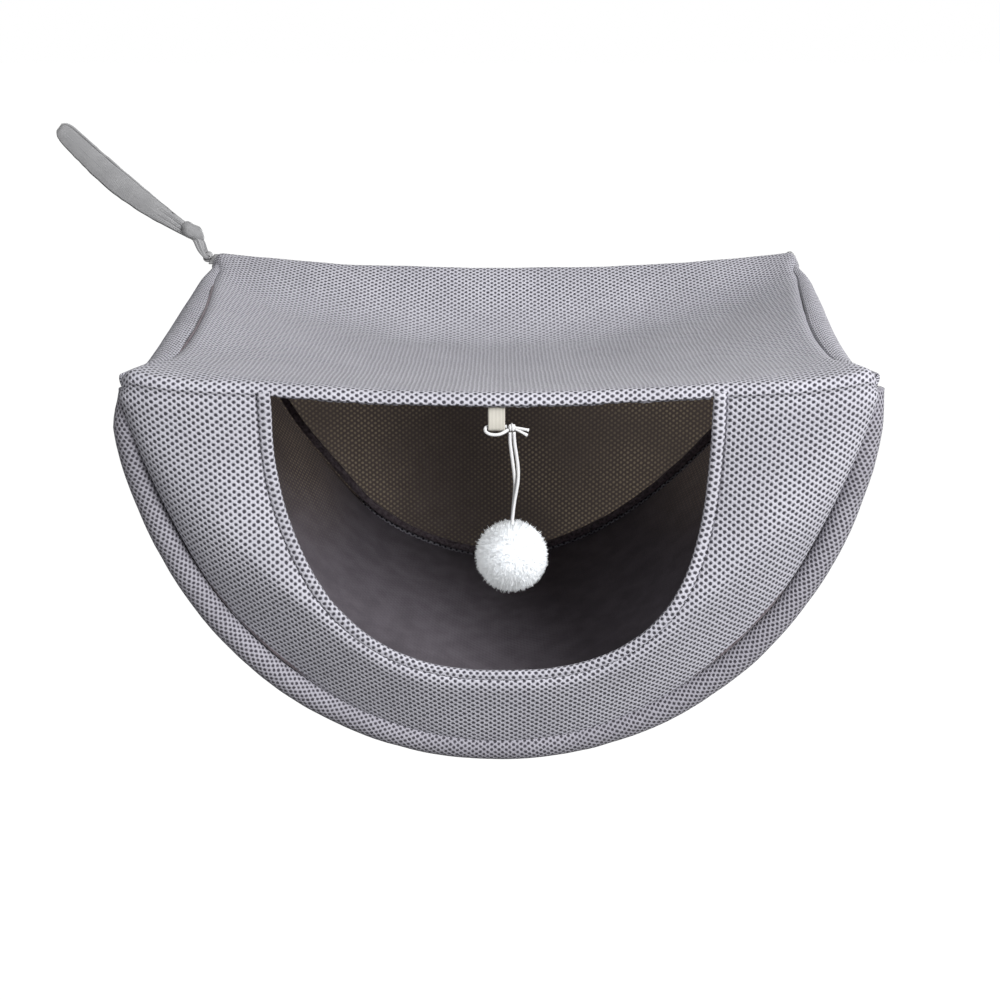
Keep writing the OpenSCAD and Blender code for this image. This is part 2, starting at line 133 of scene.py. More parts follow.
class Graph:
    """A material's nodes, built from the shader backwards."""

    # Sockets of the Mix node that carry colours
    COLOURS_IN = (6, 7)
    COLOUR_OUT = 2

    def __init__(self, name: str, roughness: float, sheen: float = 0.0) -> None:
        """Starts a material with a plain shader.

        Args:
            name: The material's name.
            roughness: The shader's roughness all over.
            sheen: The shader's sheen weight all over.
        """
        self.material = bpy.data.materials.new(name)
        self.material.use_nodes = True
        self.tree = self.material.node_tree
        self.tree.nodes.clear()
        self.shader = self.add("ShaderNodeBsdfPrincipled")
        self.shader.inputs["Roughness"].default_value = roughness
        self.shader.inputs["Sheen Weight"].default_value = sheen
        self.shader.inputs["Specular IOR Level"].default_value = 0.25
        out = self.add("ShaderNodeOutputMaterial")
        self.tree.links.new(self.shader.outputs["BSDF"], out.inputs["Surface"])

    def add(self, kind: str, **settings: object) -> bpy.types.Node:
        """A new node with its settings.

        Args:
            kind: The node's type name.
            **settings: Values for the node's own properties.

        Returns:
            The node.
        """
        node = self.tree.nodes.new(kind)
        for key, value in settings.items():
            setattr(node, key, value)
        return node

    def put(self, socket: bpy.types.NodeSocket, source: object) -> None:
        """Links a source to a socket, or sets a plain value there."""
        if isinstance(source, bpy.types.NodeSocket):
            self.tree.links.new(source, socket)
        elif isinstance(source, tuple):
            socket.default_value = (*source, 1.0) if len(source) == 3 else source
        else:
            socket.default_value = source

    def sum(self, operation: str, *sources: object) -> bpy.types.NodeSocket:
        """A Math node.

        Args:
            operation: The node's operation.
            *sources: Its inputs, as sockets or numbers.

        Returns:
            The node's value.
        """
        node = self.add("ShaderNodeMath", operation=operation)
        for socket, source in zip(node.inputs, sources):
            self.put(socket, source)
        return node.outputs[0]

    def span(self, source: object, low: float, high: float, to_low: float = 0.0,
             to_high: float = 1.0) -> bpy.types.NodeSocket:
        """A smooth step of a value between two levels.

        Args:
            source: The value.
            low: Where the step starts.
            high: Where the step ends.
            to_low: The result at low.
            to_high: The result at high.

        Returns:
            The stepped value.
        """
        node = self.add("ShaderNodeMapRange", interpolation_type="SMOOTHSTEP", clamp=True)
        for socket, value in zip(node.inputs, (source, low, high, to_low, to_high)):
            self.put(socket, value)
        return node.outputs[0]

    def mix(self, share: object, first: object, second: object) -> bpy.types.NodeSocket:
        """A colour between two colours.

        Args:
            share: How much of the second colour, from 0 to 1.
            first: The first colour.
            second: The second colour.

        Returns:
            The mixed colour.
        """
        node = self.add("ShaderNodeMix", data_type="RGBA")
        self.put(node.inputs[0], share)
        for socket, colour in zip(self.COLOURS_IN, (first, second)):
            self.put(node.inputs[socket], colour)
        return node.outputs[self.COLOUR_OUT]

    def flat_place(self, stray: float = 0.0) -> tuple[bpy.types.NodeSocket, bpy.types.NodeSocket]:
        """The place on the flat cloth in millimetres, from the piece's own map.

        Args:
            stray: How far the yarn strays from its true place, in millimetres.

        Returns:
            The place across and along the cloth.
        """
        place = self.add("ShaderNodeUVMap", uv_map="UVMap").outputs[0]
        if stray:
            cloud = self.add("ShaderNodeTexNoise", noise_dimensions="2D")
            self.put(cloud.inputs["Vector"], place)
            self.put(cloud.inputs["Scale"], 0.06)
            scaled = self.add("ShaderNodeVectorMath", operation="MULTIPLY_ADD")
            self.put(scaled.inputs[0], cloud.outputs["Color"])
            scaled.inputs[1].default_value = (stray, stray, 0)
            self.put(scaled.inputs[2], place)
            place = scaled.outputs[0]
        parts = self.add("ShaderNodeSeparateXYZ")
        self.put(parts.inputs[0], place)
        return parts.outputs[0], parts.outputs[1]

    def cloud(self, scale: float, detail: float = 2.0, flat: bool = True) -> bpy.types.NodeSocket:
        """Noise on the flat cloth, or on the object.

        Args:
            scale: Waves per millimetre on the cloth, or per metre on the object.
            detail: The noise's detail.
            flat: Whether it follows the piece's own map.

        Returns:
            A value from 0 to 1.
        """
        place = (self.add("ShaderNodeUVMap", uv_map="UVMap").outputs[0] if flat
                 else self.add("ShaderNodeTexCoord").outputs["Object"])
        node = self.add("ShaderNodeTexNoise")
        self.put(node.inputs["Vector"], place)
        self.put(node.inputs["Scale"], scale)
        self.put(node.inputs["Detail"], detail)
        return node.outputs[0]

    def from_holes(self, across: float, along: float, stray: float) -> bpy.types.NodeSocket:
        """The distance to the nearest hole of a staggered mesh.

        Args:
            across: Pitch of the holes in a row, in millimetres.
            along: Pitch of every second row, in millimetres.
            stray: How far the holes stray, in millimetres.

        Returns:
            The distance in millimetres.
        """
        u, v = self.flat_place(stray)
        reach = []
        for shift in (0.0, 0.5):
            du = self.sum("WRAP", self.sum("ADD", u, shift * across), across / 2, -across / 2)
            dv = self.sum("WRAP", self.sum("ADD", v, shift * along), along / 2, -along / 2)
            squares = self.sum("MULTIPLY_ADD", du, du, self.sum("MULTIPLY", dv, dv))
            reach.append(self.sum("SQRT", squares))
        return self.sum("MINIMUM", *reach)

    def dress(self, colour: object, height: object = None, relief: float = 0.5,
              strength: float = 0.6) -> bpy.types.Material:
        """Feeds the shader its colour and relief.

        Args:
            colour: The base colour.
            height: The relief from 0 to 1, or none.
            relief: The relief's height in millimetres.
            strength: The bump's strength.

        Returns:
            The finished material.
        """
        self.put(self.shader.inputs["Base Color"], colour)
        if height is not None:
            bump = self.add("ShaderNodeBump")
            bump.inputs["Strength"].default_value = strength
            bump.inputs["Distance"].default_value = relief * MM
            self.put(bump.inputs["Height"], height)
            self.put(self.shader.inputs["Normal"], bump.outputs[0])
        return self.material


@dataclass(frozen=True)
class MeshFinish:
    """Spacer mesh: a staggered net of knitted yarn over dark round holes."""

    name: str
    crown: Colour
    flank: Colour
    hole: Colour
    across: float = 5.3
    along: float = 4.05
    radius: float = 0.84
    sheen: float = 0.1

    def material(self) -> bpy.types.Material:
        """The mesh's material, whose holes are shut where the piece's attribute says."""
        g = Graph(self.name, roughness=0.9, sheen=self.sheen)
        uneven = g.sum("MULTIPLY_ADD", g.cloud(0.42, 1.0), 0.9, -0.45)
        away = g.sum("ADD", g.from_holes(self.across, self.along, stray=1.2), uneven)
        hole = g.span(away, self.radius + 0.35, self.radius - 0.35)
        rise = g.span(away, self.radius - 0.1, self.radius + 0.75)
        yarn = g.mix(rise, self.flank, self.crown)
        fuzz = g.span(g.cloud(1.6, 2.0), 0.3, 0.7, 0.0, 0.3)
        tired = g.span(g.cloud(0.018, 3.0), 0.35, 0.65, 0.0, 0.22)
        yarn = g.mix(fuzz, yarn, self.flank)
        yarn = g.mix(tired, yarn, self.flank)
        shut = g.add("ShaderNodeAttribute", attribute_name="shut").outputs["Fac"]
        middle = tuple(0.45 * a + 0.35 * b + 0.2 * c
                       for a, b, c in zip(self.crown, self.flank, self.hole))
        colour = g.mix(shut, g.mix(hole, yarn, self.hole), middle)
        return g.dress(colour, g.sum("SUBTRACT", rise, hole), relief=0.9, strength=0.55)


@dataclass(frozen=True)
class GlowMeshFinish:
    """The mesh from its dark side, with painted light: a painted glow and light dots where daylight comes
    through its holes.
    """

    name: str
    dark: Colour
    painted_light: Colour
    dot: Colour
    glow: float
    across: float = 5.3
    along: float = 4.05
    radius: float = 0.9

    def material(self) -> bpy.types.Material:
        """The dark side's material, whose painted glow and painted light dots fade where the piece's
        attribute says.
        """
        g = Graph(self.name, roughness=0.95)
        uneven = g.sum("MULTIPLY_ADD", g.cloud(0.5, 1.0), 1.2, -0.6)
        away = g.sum("ADD", g.from_holes(self.across, self.along, stray=1.0), uneven)
        dots = g.span(away, self.radius + 0.45, self.radius - 0.5)
        # Painted light: the lit attribute sets the painted glow of the ground and the share of painted
        # light dots.
        lit = g.add("ShaderNodeAttribute", attribute_name="lit").outputs["Fac"]
        patch = g.span(g.cloud(0.012, 2.0), 0.35, 0.65, 0.35, 1.0)
        share = g.sum("MULTIPLY", g.sum("MULTIPLY", dots, lit), patch)
        ground = g.mix(lit, self.dark, self.painted_light)
        for size, most in ((1.1, 0.22), (0.06, 0.2)):
            shade = g.span(g.cloud(size, 2.0), 0.3, 0.7, 0.0, most)
            ground = g.mix(shade, ground, (0.0, 0.0, 0.0))
        through = g.mix(lit, (0.0, 0.0, 0.0), self.painted_light)
        through = g.mix(share, through, self.dot)
        # The emission is painted glow, standing in for daylight that comes through the cloth.
        g.put(g.shader.inputs["Emission Color"], through)
        g.shader.inputs["Emission Strength"].default_value = self.glow
        return g.dress(g.mix(share, ground, self.dot), dots, relief=0.3, strength=0.3)


@dataclass(frozen=True)
class TapeFinish:
    """Woven tape or ribbon with ribs along it and a darker selvedge."""

    name: str
    light: Colour
    dark: Colour
    rib: float
    width: float
    roughness: float = 0.6

    def material(self) -> bpy.types.Material:
        """The tape's material, with ribs, cross threads and selvedges."""
        g = Graph(self.name, roughness=self.roughness, sheen=0.1)
        u, v = g.flat_place()
        rib = g.sum("PINGPONG", u, self.rib / 2)
        rib = g.span(rib, 0.0, self.rib / 2)
        pick = g.span(g.sum("PINGPONG", v, self.rib * 0.4), 0.0, self.rib * 0.4)
        weave = g.sum("MULTIPLY", rib, g.span(pick, 0.0, 1.0, 0.6, 1.0))
        edge = g.span(g.sum("ABSOLUTE", u), self.width / 2 - 1.4, self.width / 2 - 0.5, 0.0, 0.35)
        colour = g.mix(g.span(weave, 0.0, 1.0, 0.0, 0.8), self.dark, self.light)
        colour = g.mix(g.span(g.cloud(0.09, 3.0), 0.35, 0.65, 0.0, 0.3), colour, self.dark)
        return g.dress(g.mix(edge, colour, self.dark), weave, relief=0.25, strength=0.5)


@dataclass(frozen=True)
class FibreFinish:
    """Soft fibre with lighter and darker streaks: fur or bound cloth."""

    name: str
    light: Colour
    dark: Colour
    scale: float
    glow: float = 0.0

    def material(self) -> bpy.types.Material:
        """The fibre's material, from noise on the object."""
        g = Graph(self.name, roughness=0.95, sheen=0.15)
        streak = g.cloud(self.scale, 4.0, flat=False)
        share = g.span(streak, 0.35, 0.65)
        # Painted glow: the emission stands in for light scattered through white fibres; the bound seam has
        # none.
        if self.glow:
            g.shader.inputs["Emission Color"].default_value = (*self.light, 1.0)
            g.shader.inputs["Emission Strength"].default_value = self.glow
        return g.dress(g.mix(share, self.dark, self.light), streak, relief=0.6, strength=0.4)


@dataclass(frozen=True)
class CordFinish:
    """Braided elastic cord with a slanting plait."""

    name: str
    light: Colour
    dark: Colour

    def material(self) -> bpy.types.Material:
        """The cord's material, with two crossing slants on its own map."""
        g = Graph(self.name, roughness=0.8, sheen=0.1)
        u, v = g.flat_place()
        plait = []
        for way in (1.0, -1.0):
            slant = g.sum("PINGPONG", g.sum("MULTIPLY_ADD", u, way, v), 0.55)
            plait.append(g.span(slant, 0.0, 0.55))
        weave = g.sum("MULTIPLY", *plait)
        return g.dress(g.mix(weave, self.dark, self.light), weave, relief=0.2, strength=0.5)


class Palette:
    """Every finish of the hammock, made once."""

    def __init__(self) -> None:
        """Makes the materials."""
        self.mesh = MeshFinish("spacer_mesh", linear(200, 199, 208), linear(136, 135, 144),
                               linear(58, 56, 64)).material()
        # A darker copy of the spacer mesh with closer holes: painted shade for the rolls and the hem under
        # the roof's front edge.
        self.roll = MeshFinish("roll_mesh_painted_shade", linear(170, 168, 177), linear(112, 110, 118),
                               linear(56, 53, 61), across=4.8, along=3.5, radius=0.72).material()
        # The mesh's dark side and the lining carry painted glow and painted light dots where a piece marks
        # them lit.
        self.inside = GlowMeshFinish("mesh_dark_side", linear(92, 84, 88), linear(104, 94, 89),
                                     linear(172, 157, 134), glow=0.25).material()
        self.lining = GlowMeshFinish("lining", linear(118, 112, 120), linear(106, 96, 94),
                                     linear(164, 150, 130), glow=0.18).material()
        self.binding = FibreFinish("bound_seam", linear(116, 106, 112), linear(84, 75, 80),
                                   420.0).material()
        self.ribbon = TapeFinish("ribbon", linear(186, 186, 187), linear(128, 128, 130), 0.9,
                                 17.0).material()
        self.tab = TapeFinish("cream_tape", linear(218, 215, 207), linear(180, 176, 166), 0.8,
                              9.0, roughness=0.85).material()
        self.cord = CordFinish("elastic", linear(246, 246, 244), linear(204, 204, 206)).material()
        # The fur carries a painted glow.
        self.fur = FibreFinish("fur", linear(250, 252, 254), linear(226, 232, 238), 700.0,
                               glow=0.27).material()


class Cutting:
    """Mesh work that the pieces share."""

    @staticmethod
    def lay(bm: bmesh.types.BMesh, columns: int, rows: int, spot: Spot, flat: Flat) -> None:
        """Adds a grid of cloth and moves it to where it hangs.

        Args:
            bm: The mesh that takes the grid.
            columns: Faces across.
            rows: Faces along.
            spot: Place in millimetres for a share across and along.
            flat: Place on the flat cloth in millimetres for the same shares.
        """
        chart = bm.loops.layers.uv.get("UVMap") or bm.loops.layers.uv.new("UVMap")
        made = bmesh.ops.create_grid(bm, x_segments=columns, y_segments=rows, size=0.5)["verts"]
        shares = {v: (v.co.x + 0.5, v.co.y + 0.5) for v in made}
        for face in {f for v in made for f in v.link_faces}:
            face.smooth = True
            for loop in face.loops:
                loop[chart].uv = flat(*shares[loop.vert])
        for vert, share in shares.items():
            vert.co = spot(*share) * MM

    @staticmethod
    def runs(path: Sequence[Vector]) -> list[float]:
        """Length along a path at each of its points.

        Args:
            path: The points.

        Returns:
            The lengths, from 0 at the first point.
        """
        lengths = [0.0]
        for a, b in zip(path, path[1:]):
            lengths.append(lengths[-1] + (b - a).length)
        return lengths

    @staticmethod
    def tube(bm: bmesh.types.BMesh, path: Sequence[Vector], radius: Callable[[float, float], float],
             sides: int, level: Vector, squash: float = 1.0, turned: bool = False) -> None:
        """Adds a closed tube along a path, drawn shut at both ends.

        Args:
            bm: The mesh that takes the tube.
            path: Points along the middle, in millimetres.
            radius: Radius in millimetres for a share round and a share along.
            sides: Faces round.
            level: A direction that the rings keep level.
            squash: Height of the rings over their width.
            turned: Whether the cloth's rows of holes run along the path.
        """
        steps = len(path) - 1
        runs = Cutting.runs(path)

        def ring(row: int) -> tuple[Vector, Vector]:
            """The two directions across the path at a row."""
            along = path[min(row + 1, steps)] - path[max(row - 1, 0)]
            first = along.cross(level).normalized()
            return first, first.cross(along).normalized()

        frames = [ring(i) for i in range(steps + 1)]

        def row_at(b: float) -> int:
            """The path's row for a share along the grid, which has one more row at each end."""
            return min(max(round(b * (steps + 2)) - 1, 0), steps)

        def spot(a: float, b: float) -> Vector:
            """A point on the tube; the first and last rows lie on the middle."""
            row = row_at(b)
            shut = round(b * (steps + 2)) in (0, steps + 2)
            size = 0.0 if shut else radius(a, row / steps)
            one, two = frames[row]
            turn = math.tau * a
            return path[row] + (one * math.cos(turn) + two * (squash * math.sin(turn))) * size

        def flat(a: float, b: float) -> tuple[float, float]:
            """The place on the tube's skin."""
            round_it, run = a * math.tau * max(radius(0.0, 0.5), 0.1), runs[row_at(b)]
            return (run, round_it) if turned else (round_it, run)

        Cutting.lay(bm, sides, steps + 2, spot, flat)

    @staticmethod
    def strip(bm: bmesh.types.BMesh, path: Sequence[Vector], across: Vector,
              width: Callable[[float], float], columns: int = 8,
              ruffle: Callable[[float, float], Vector] | None = None) -> None:
        """Adds a strip of tape along a path.

        Args:
            bm: The mesh that takes the strip.
            path: Points along the middle, in millimetres.
            across: Direction of the tape's width.
            width: Width in millimetres for a share along.
            columns: Faces across.
            ruffle: Extra shift in millimetres for a share across and along.
        """
        steps = len(path) - 1
        runs = Cutting.runs(path)

        def spot(a: float, b: float) -> Vector:
            """A point on the strip."""
            place = path[round(b * steps)] + across * ((a - 0.5) * width(b))
            return place + ruffle(a, b) if ruffle else place

        full = max(width(i / steps) for i in range(steps + 1))

        def flat(a: float, b: float) -> tuple[float, float]:
            """The place on the flat tape."""
            return (a - 0.5) * full, runs[round(b * steps)]

        Cutting.lay(bm, columns, steps, spot, flat)

    @staticmethod
    def piece(bm: bmesh.types.BMesh, name: str, materials: Sequence[bpy.types.Material],
              merge: float = 0.02, outward_from: Vector | None = None, closed: bool = False,
              place: Matrix | None = None) -> bpy.types.Object:
        """Turns a mesh into an object at the origin.

        Args:
            bm: The finished mesh, which is freed.
            name: The object's name.
            materials: Its materials by slot.
            merge: Distance under which points are joined, in millimetres.
            outward_from: A point in metres that faces look away from.
            closed: Whether the mesh is closed, so that its faces can be turned outwards.
            place: A move for the whole mesh.

        Returns:
            The new object.
        """
        bmesh.ops.remove_doubles(bm, verts=bm.verts, dist=merge * MM)
        bmesh.ops.dissolve_degenerate(bm, edges=bm.edges, dist=1e-7)
        if place is not None:
            bmesh.ops.transform(bm, matrix=place, verts=bm.verts)
        if closed:
            bmesh.ops.recalc_face_normals(bm, faces=bm.faces)
        elif outward_from is not None:
            bm.normal_update()
            look = sum(f.calc_area() * f.normal.dot(f.calc_center_median() - outward_from)
                       for f in bm.faces)
            if look < 0:
                bmesh.ops.reverse_faces(bm, faces=bm.faces)
        mesh = bpy.data.meshes.new(name)
        bm.to_mesh(mesh)
        bm.free()
        obj = bpy.data.objects.new(name, mesh)
        bpy.context.scene.collection.objects.link(obj)
        for material in materials:
            mesh.materials.append(material)
        return obj

    @staticmethod
    def thicken(obj: bpy.types.Object, thick: float, smooth: int = 1, back: int = 0) -> None:
        """Gives cloth its thickness, inwards, and a smooth surface.

        Args:
            obj: The cloth.
            thick: Thickness in millimetres.
            smooth: Levels of subdivision.
            back: How many slots further on the back's material is.
        """
        if smooth:
            round_off = obj.modifiers.new("smooth", "SUBSURF")
            round_off.levels = round_off.render_levels = smooth
        solid = obj.modifiers.new("thick", "SOLIDIFY")
        solid.thickness = thick * MM
        solid.offset = -1.0
        solid.material_offset = back

    @staticmethod
    def mark(obj: bpy.types.Object, name: str, level: Callable[[float, float, float], float]) -> None:
        """Writes a level to each point of a piece, for its finish.

        Args:
            obj: The piece.
            name: The attribute that the finish reads.
            level: The level from 0 to 1 for a place in millimetres.
        """
        marks = obj.data.attributes.new(name, "FLOAT", "POINT")
        for i, vert in enumerate(obj.data.vertices):
            marks.data[i].value = level(*(c / MM for c in vert.co))

    @staticmethod
    def settle(obj: bpy.types.Object, body: str, slot: str, *nodes: str) -> bpy.types.Object:
        """Ties a piece to its body and hides the solids that it stands for.

        Args:
            obj: The piece.
            body: The body it moves with.
            slot: Not used.
            *nodes: The solids that it stands for.

        Returns:
            The piece.
        """
        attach(obj, body)
        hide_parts(*nodes)
        LOG.info("%s on %s", obj.name, body)
        return obj


@dataclass(frozen=True)
class BedShape:
    """The sewn bed's sizes in millimetres, and the curves that its pieces share."""

    width: float = 436.0
    drop: float = 248.0
    length: float = 300.0
    front_fullness: float = 2.03
    rear_fullness: float = 1.75
    mesh: float = 5.0
    cloth: float = 4.0
    gap: float = 0.3
    roof_end: float = 146.0
    shoulder_high: float = 12.0
    shoulder_wide: float = 9.0
    shoulder_swell: tuple[float, float] = (13.0, 8.5)
    front_flare: float = 12.0
    rear_flare: float = 6.0
    front_line: tuple[float, float, float] = (-9.3, 15.3, 1.8)
    rear_line: tuple[float, float, float] = (-7.2, 12.5, 2.4)
    middle_sag: float = 34.0
    lowest: float = 60.0
    corner_lift: float = 6.2
    corner_reach: float = 38.0
    opening: tuple[float, float] = (128.6, 184.0)
    opening_side: float = 24.0
    opening_fullness: float = 2.4
    opening_shift: tuple[float, float] = (-4.2, 3.3)
    hem: float = 8.0
    roll: float = 17.6

    def depth(self, y: float) -> float:
        """Share of the way from the front to the rear."""
        return min(1.0, max(0.0, y / self.length + 0.5))

    def fullness(self, y: float) -> float:
        """Fullness of the bowl's outline at a depth."""
        return self.front_fullness + (self.rear_fullness - self.front_fullness) * self.depth(y)

    def shoulder(self, y: float, side: float) -> float:
        """Width of a shoulder at a depth on one side."""
        swell = self.shoulder_swell[0 if side < 0 else 1]
        return self.shoulder_wide + swell * math.sin(math.pi * self.depth(y) ** 0.65)

    def roof_half(self, y: float, side: float) -> float:
        """Half the roof's width at a depth on one side, with its corners let out."""
        half = self.width / 2 - self.shoulder(y, side) - self.gap
        front = self.front_flare * ease(-112.0, -147.0, y)
        return half + front + self.rear_flare * ease(112.0, self.roof_end, y)

    @staticmethod
    def edge_z(line: tuple[float, float, float], out: float) -> float:
        """Height of a sagging edge: its middle, its rise to the corners and how late it rises."""
        return line[0] + line[1] * out ** line[2]

    def corner(self, y: float) -> float:
        """How near a depth is to the lifted corners, from 0 to 1."""
        return math.exp(-((abs(y) - self.length / 2) / self.corner_reach) ** 2)

    def slack(self, y: float) -> float:
        """Share of the roof's sag at a depth: steep from the rear, slow towards the front."""
        edge = self.roof_end
        if y > self.lowest:
            return math.sin(math.pi / 2 * max(0.0, (edge - y) / (edge - self.lowest)) ** 1.15)
        return 1 - min(1.0, (self.lowest - y) / (self.lowest + edge)) ** 1.4

    def roof_z(self, x: float, y: float) -> float:
        """Height of the roof's upper face, sagging between lifted corners."""
        out = min(1.0, abs(x) / self.roof_half(y, x))
        front, rear = self.edge_z(self.front_line, out), self.edge_z(self.rear_line, out)
        deep = self.middle_sag * self.slack(y)
        sides = self.corner_lift * (1 - self.corner(y)) * out * out
        down = 3.5 + 1.5 * ease(-105.0, -146.0, y) + 7.0 * ease(95.0, self.roof_end, y)
        fold = down * max(0.0, (out - 0.965) / 0.035) ** 2
        crumple = 0.7 * waver(x, y, 0.0, 46.0) + 0.35 * waver(x, y, 9.0, 17.0)
        level = front + (rear - front) * self.depth(y)
        return level - deep * (1 - out * out) - sides - fold + crumple

    @staticmethod
    def draw_in(here: Vector) -> Vector:
        """A point of the sides drawn in towards the roof's rear corners, where they taper."""
        pull = 7.0 * ease(98.0, 141.0, here.y) * ease(-52.0, -8.0, here.z)
        return Vector((here.x - math.copysign(pull, here.x), here.y, here.z))

    @staticmethod
    def drift(here: Vector, inner: bool = False) -> Vector:
        """A point moved as the bed hangs a little out of true at its rear.

        Args:
            here: The point in millimetres.
            inner: Whether the point is on the lining or the rear seam.

        Returns:
            The moved point.
        """
        x, y, z = here
        right = 9.0 * ease(-90.0, 140.0, y) * ease(60.0, 190.0, x) * ease(-200.0, -60.0, z)
        left = 13.0 * ease(-40.0, 130.0, y) * ease(40.0, 130.0, -x) * ease(-222.0, -150.0, z)
        return Vector((x + right + (left if inner else 0.0), y, z))

    @staticmethod
    def arc(half: float, drop: float, fullness: float, straight: float, turn: float) -> tuple[float, float]:
        """A point of a half-round curve.

        Args:
            half: Half its width.
            drop: Its depth below the hanging corners.
            fullness: Its fullness, where 2 is an ellipse.
            straight: Where its straight upper part ends.
            turn: Angle from the right, in degrees.

        Returns:
            X and Z in millimetres.
        """
        c, s = math.cos(math.radians(turn)), math.sin(math.radians(turn))
        x = half * math.copysign(abs(c) ** (2 / fullness), c)
        return x, -straight - (drop - straight) * max(0.0, s) ** (2 / fullness)

    def rim(self, turn: float, inset: float, fullness: float) -> tuple[float, float]:
        """A point of the bowl's outline, moved inwards."""
        return self.arc(self.width / 2 - inset, self.drop - inset, fullness, self.shoulder_high, turn)

    def mouth(self, turn: float, outset: float) -> tuple[float, float]:
        """A point of the opening's outline, moved outwards."""
        half, drop = self.opening
        x, z = self.arc(half + outset, drop + outset, self.opening_fullness,
                        self.opening_side, turn)
        high, low = self.opening_shift
        return x + high + (low - high) * ease(-40.0, -180.0, z), z

    def hem_at(self, turn: float) -> float:
        """Width of the opening's hem, narrower below than at the sides."""
        return self.hem * (1 - 0.2 * max(0.0, math.sin(math.radians(turn))))

    def forward(self, share: float, turn: float) -> float:
        """How far the front panel stands forward of its plane.

        Args:
            share: Share from the opening to the outer seam.
            turn: Angle round the opening from the right, in degrees.

        Returns:
            The distance in millimetres, below 0 where the seam lies behind the roll's crown.
        """
        side = min(turn, 180 - turn)
        low, under = ease(5.0, 45.0, side), ease(50.0, 90.0, side)
        start, crest = 0.35 + 0.6 * low, 0.64 - 0.54 * low
        rise = start + (1 - start) * math.sin(math.pi / 2 * min(1.0, share / min(crest, 0.45)))
        rise = (8.5 + 7.5 * low - 3.0 * under) * rise - 0.5 * max(0.0, 1 - share / 0.06) ** 2
        past = max(0.0, (share - crest) / (1 - crest))
        rounded = 1 - math.sqrt(max(0.0, 1 - past * past))
        fall = rounded + (0.88 * past + 0.12 * rounded - rounded) * low
        end = -6.0 - 2.5 * ease(5.0, 30.0, side) + 3.5 * under
        return rise + (end - rise) * fall

    @property
    def front_y(self) -> float:
        """The front panel's outer face where it doesn't swell."""
        return -(self.length + self.mesh) / 2


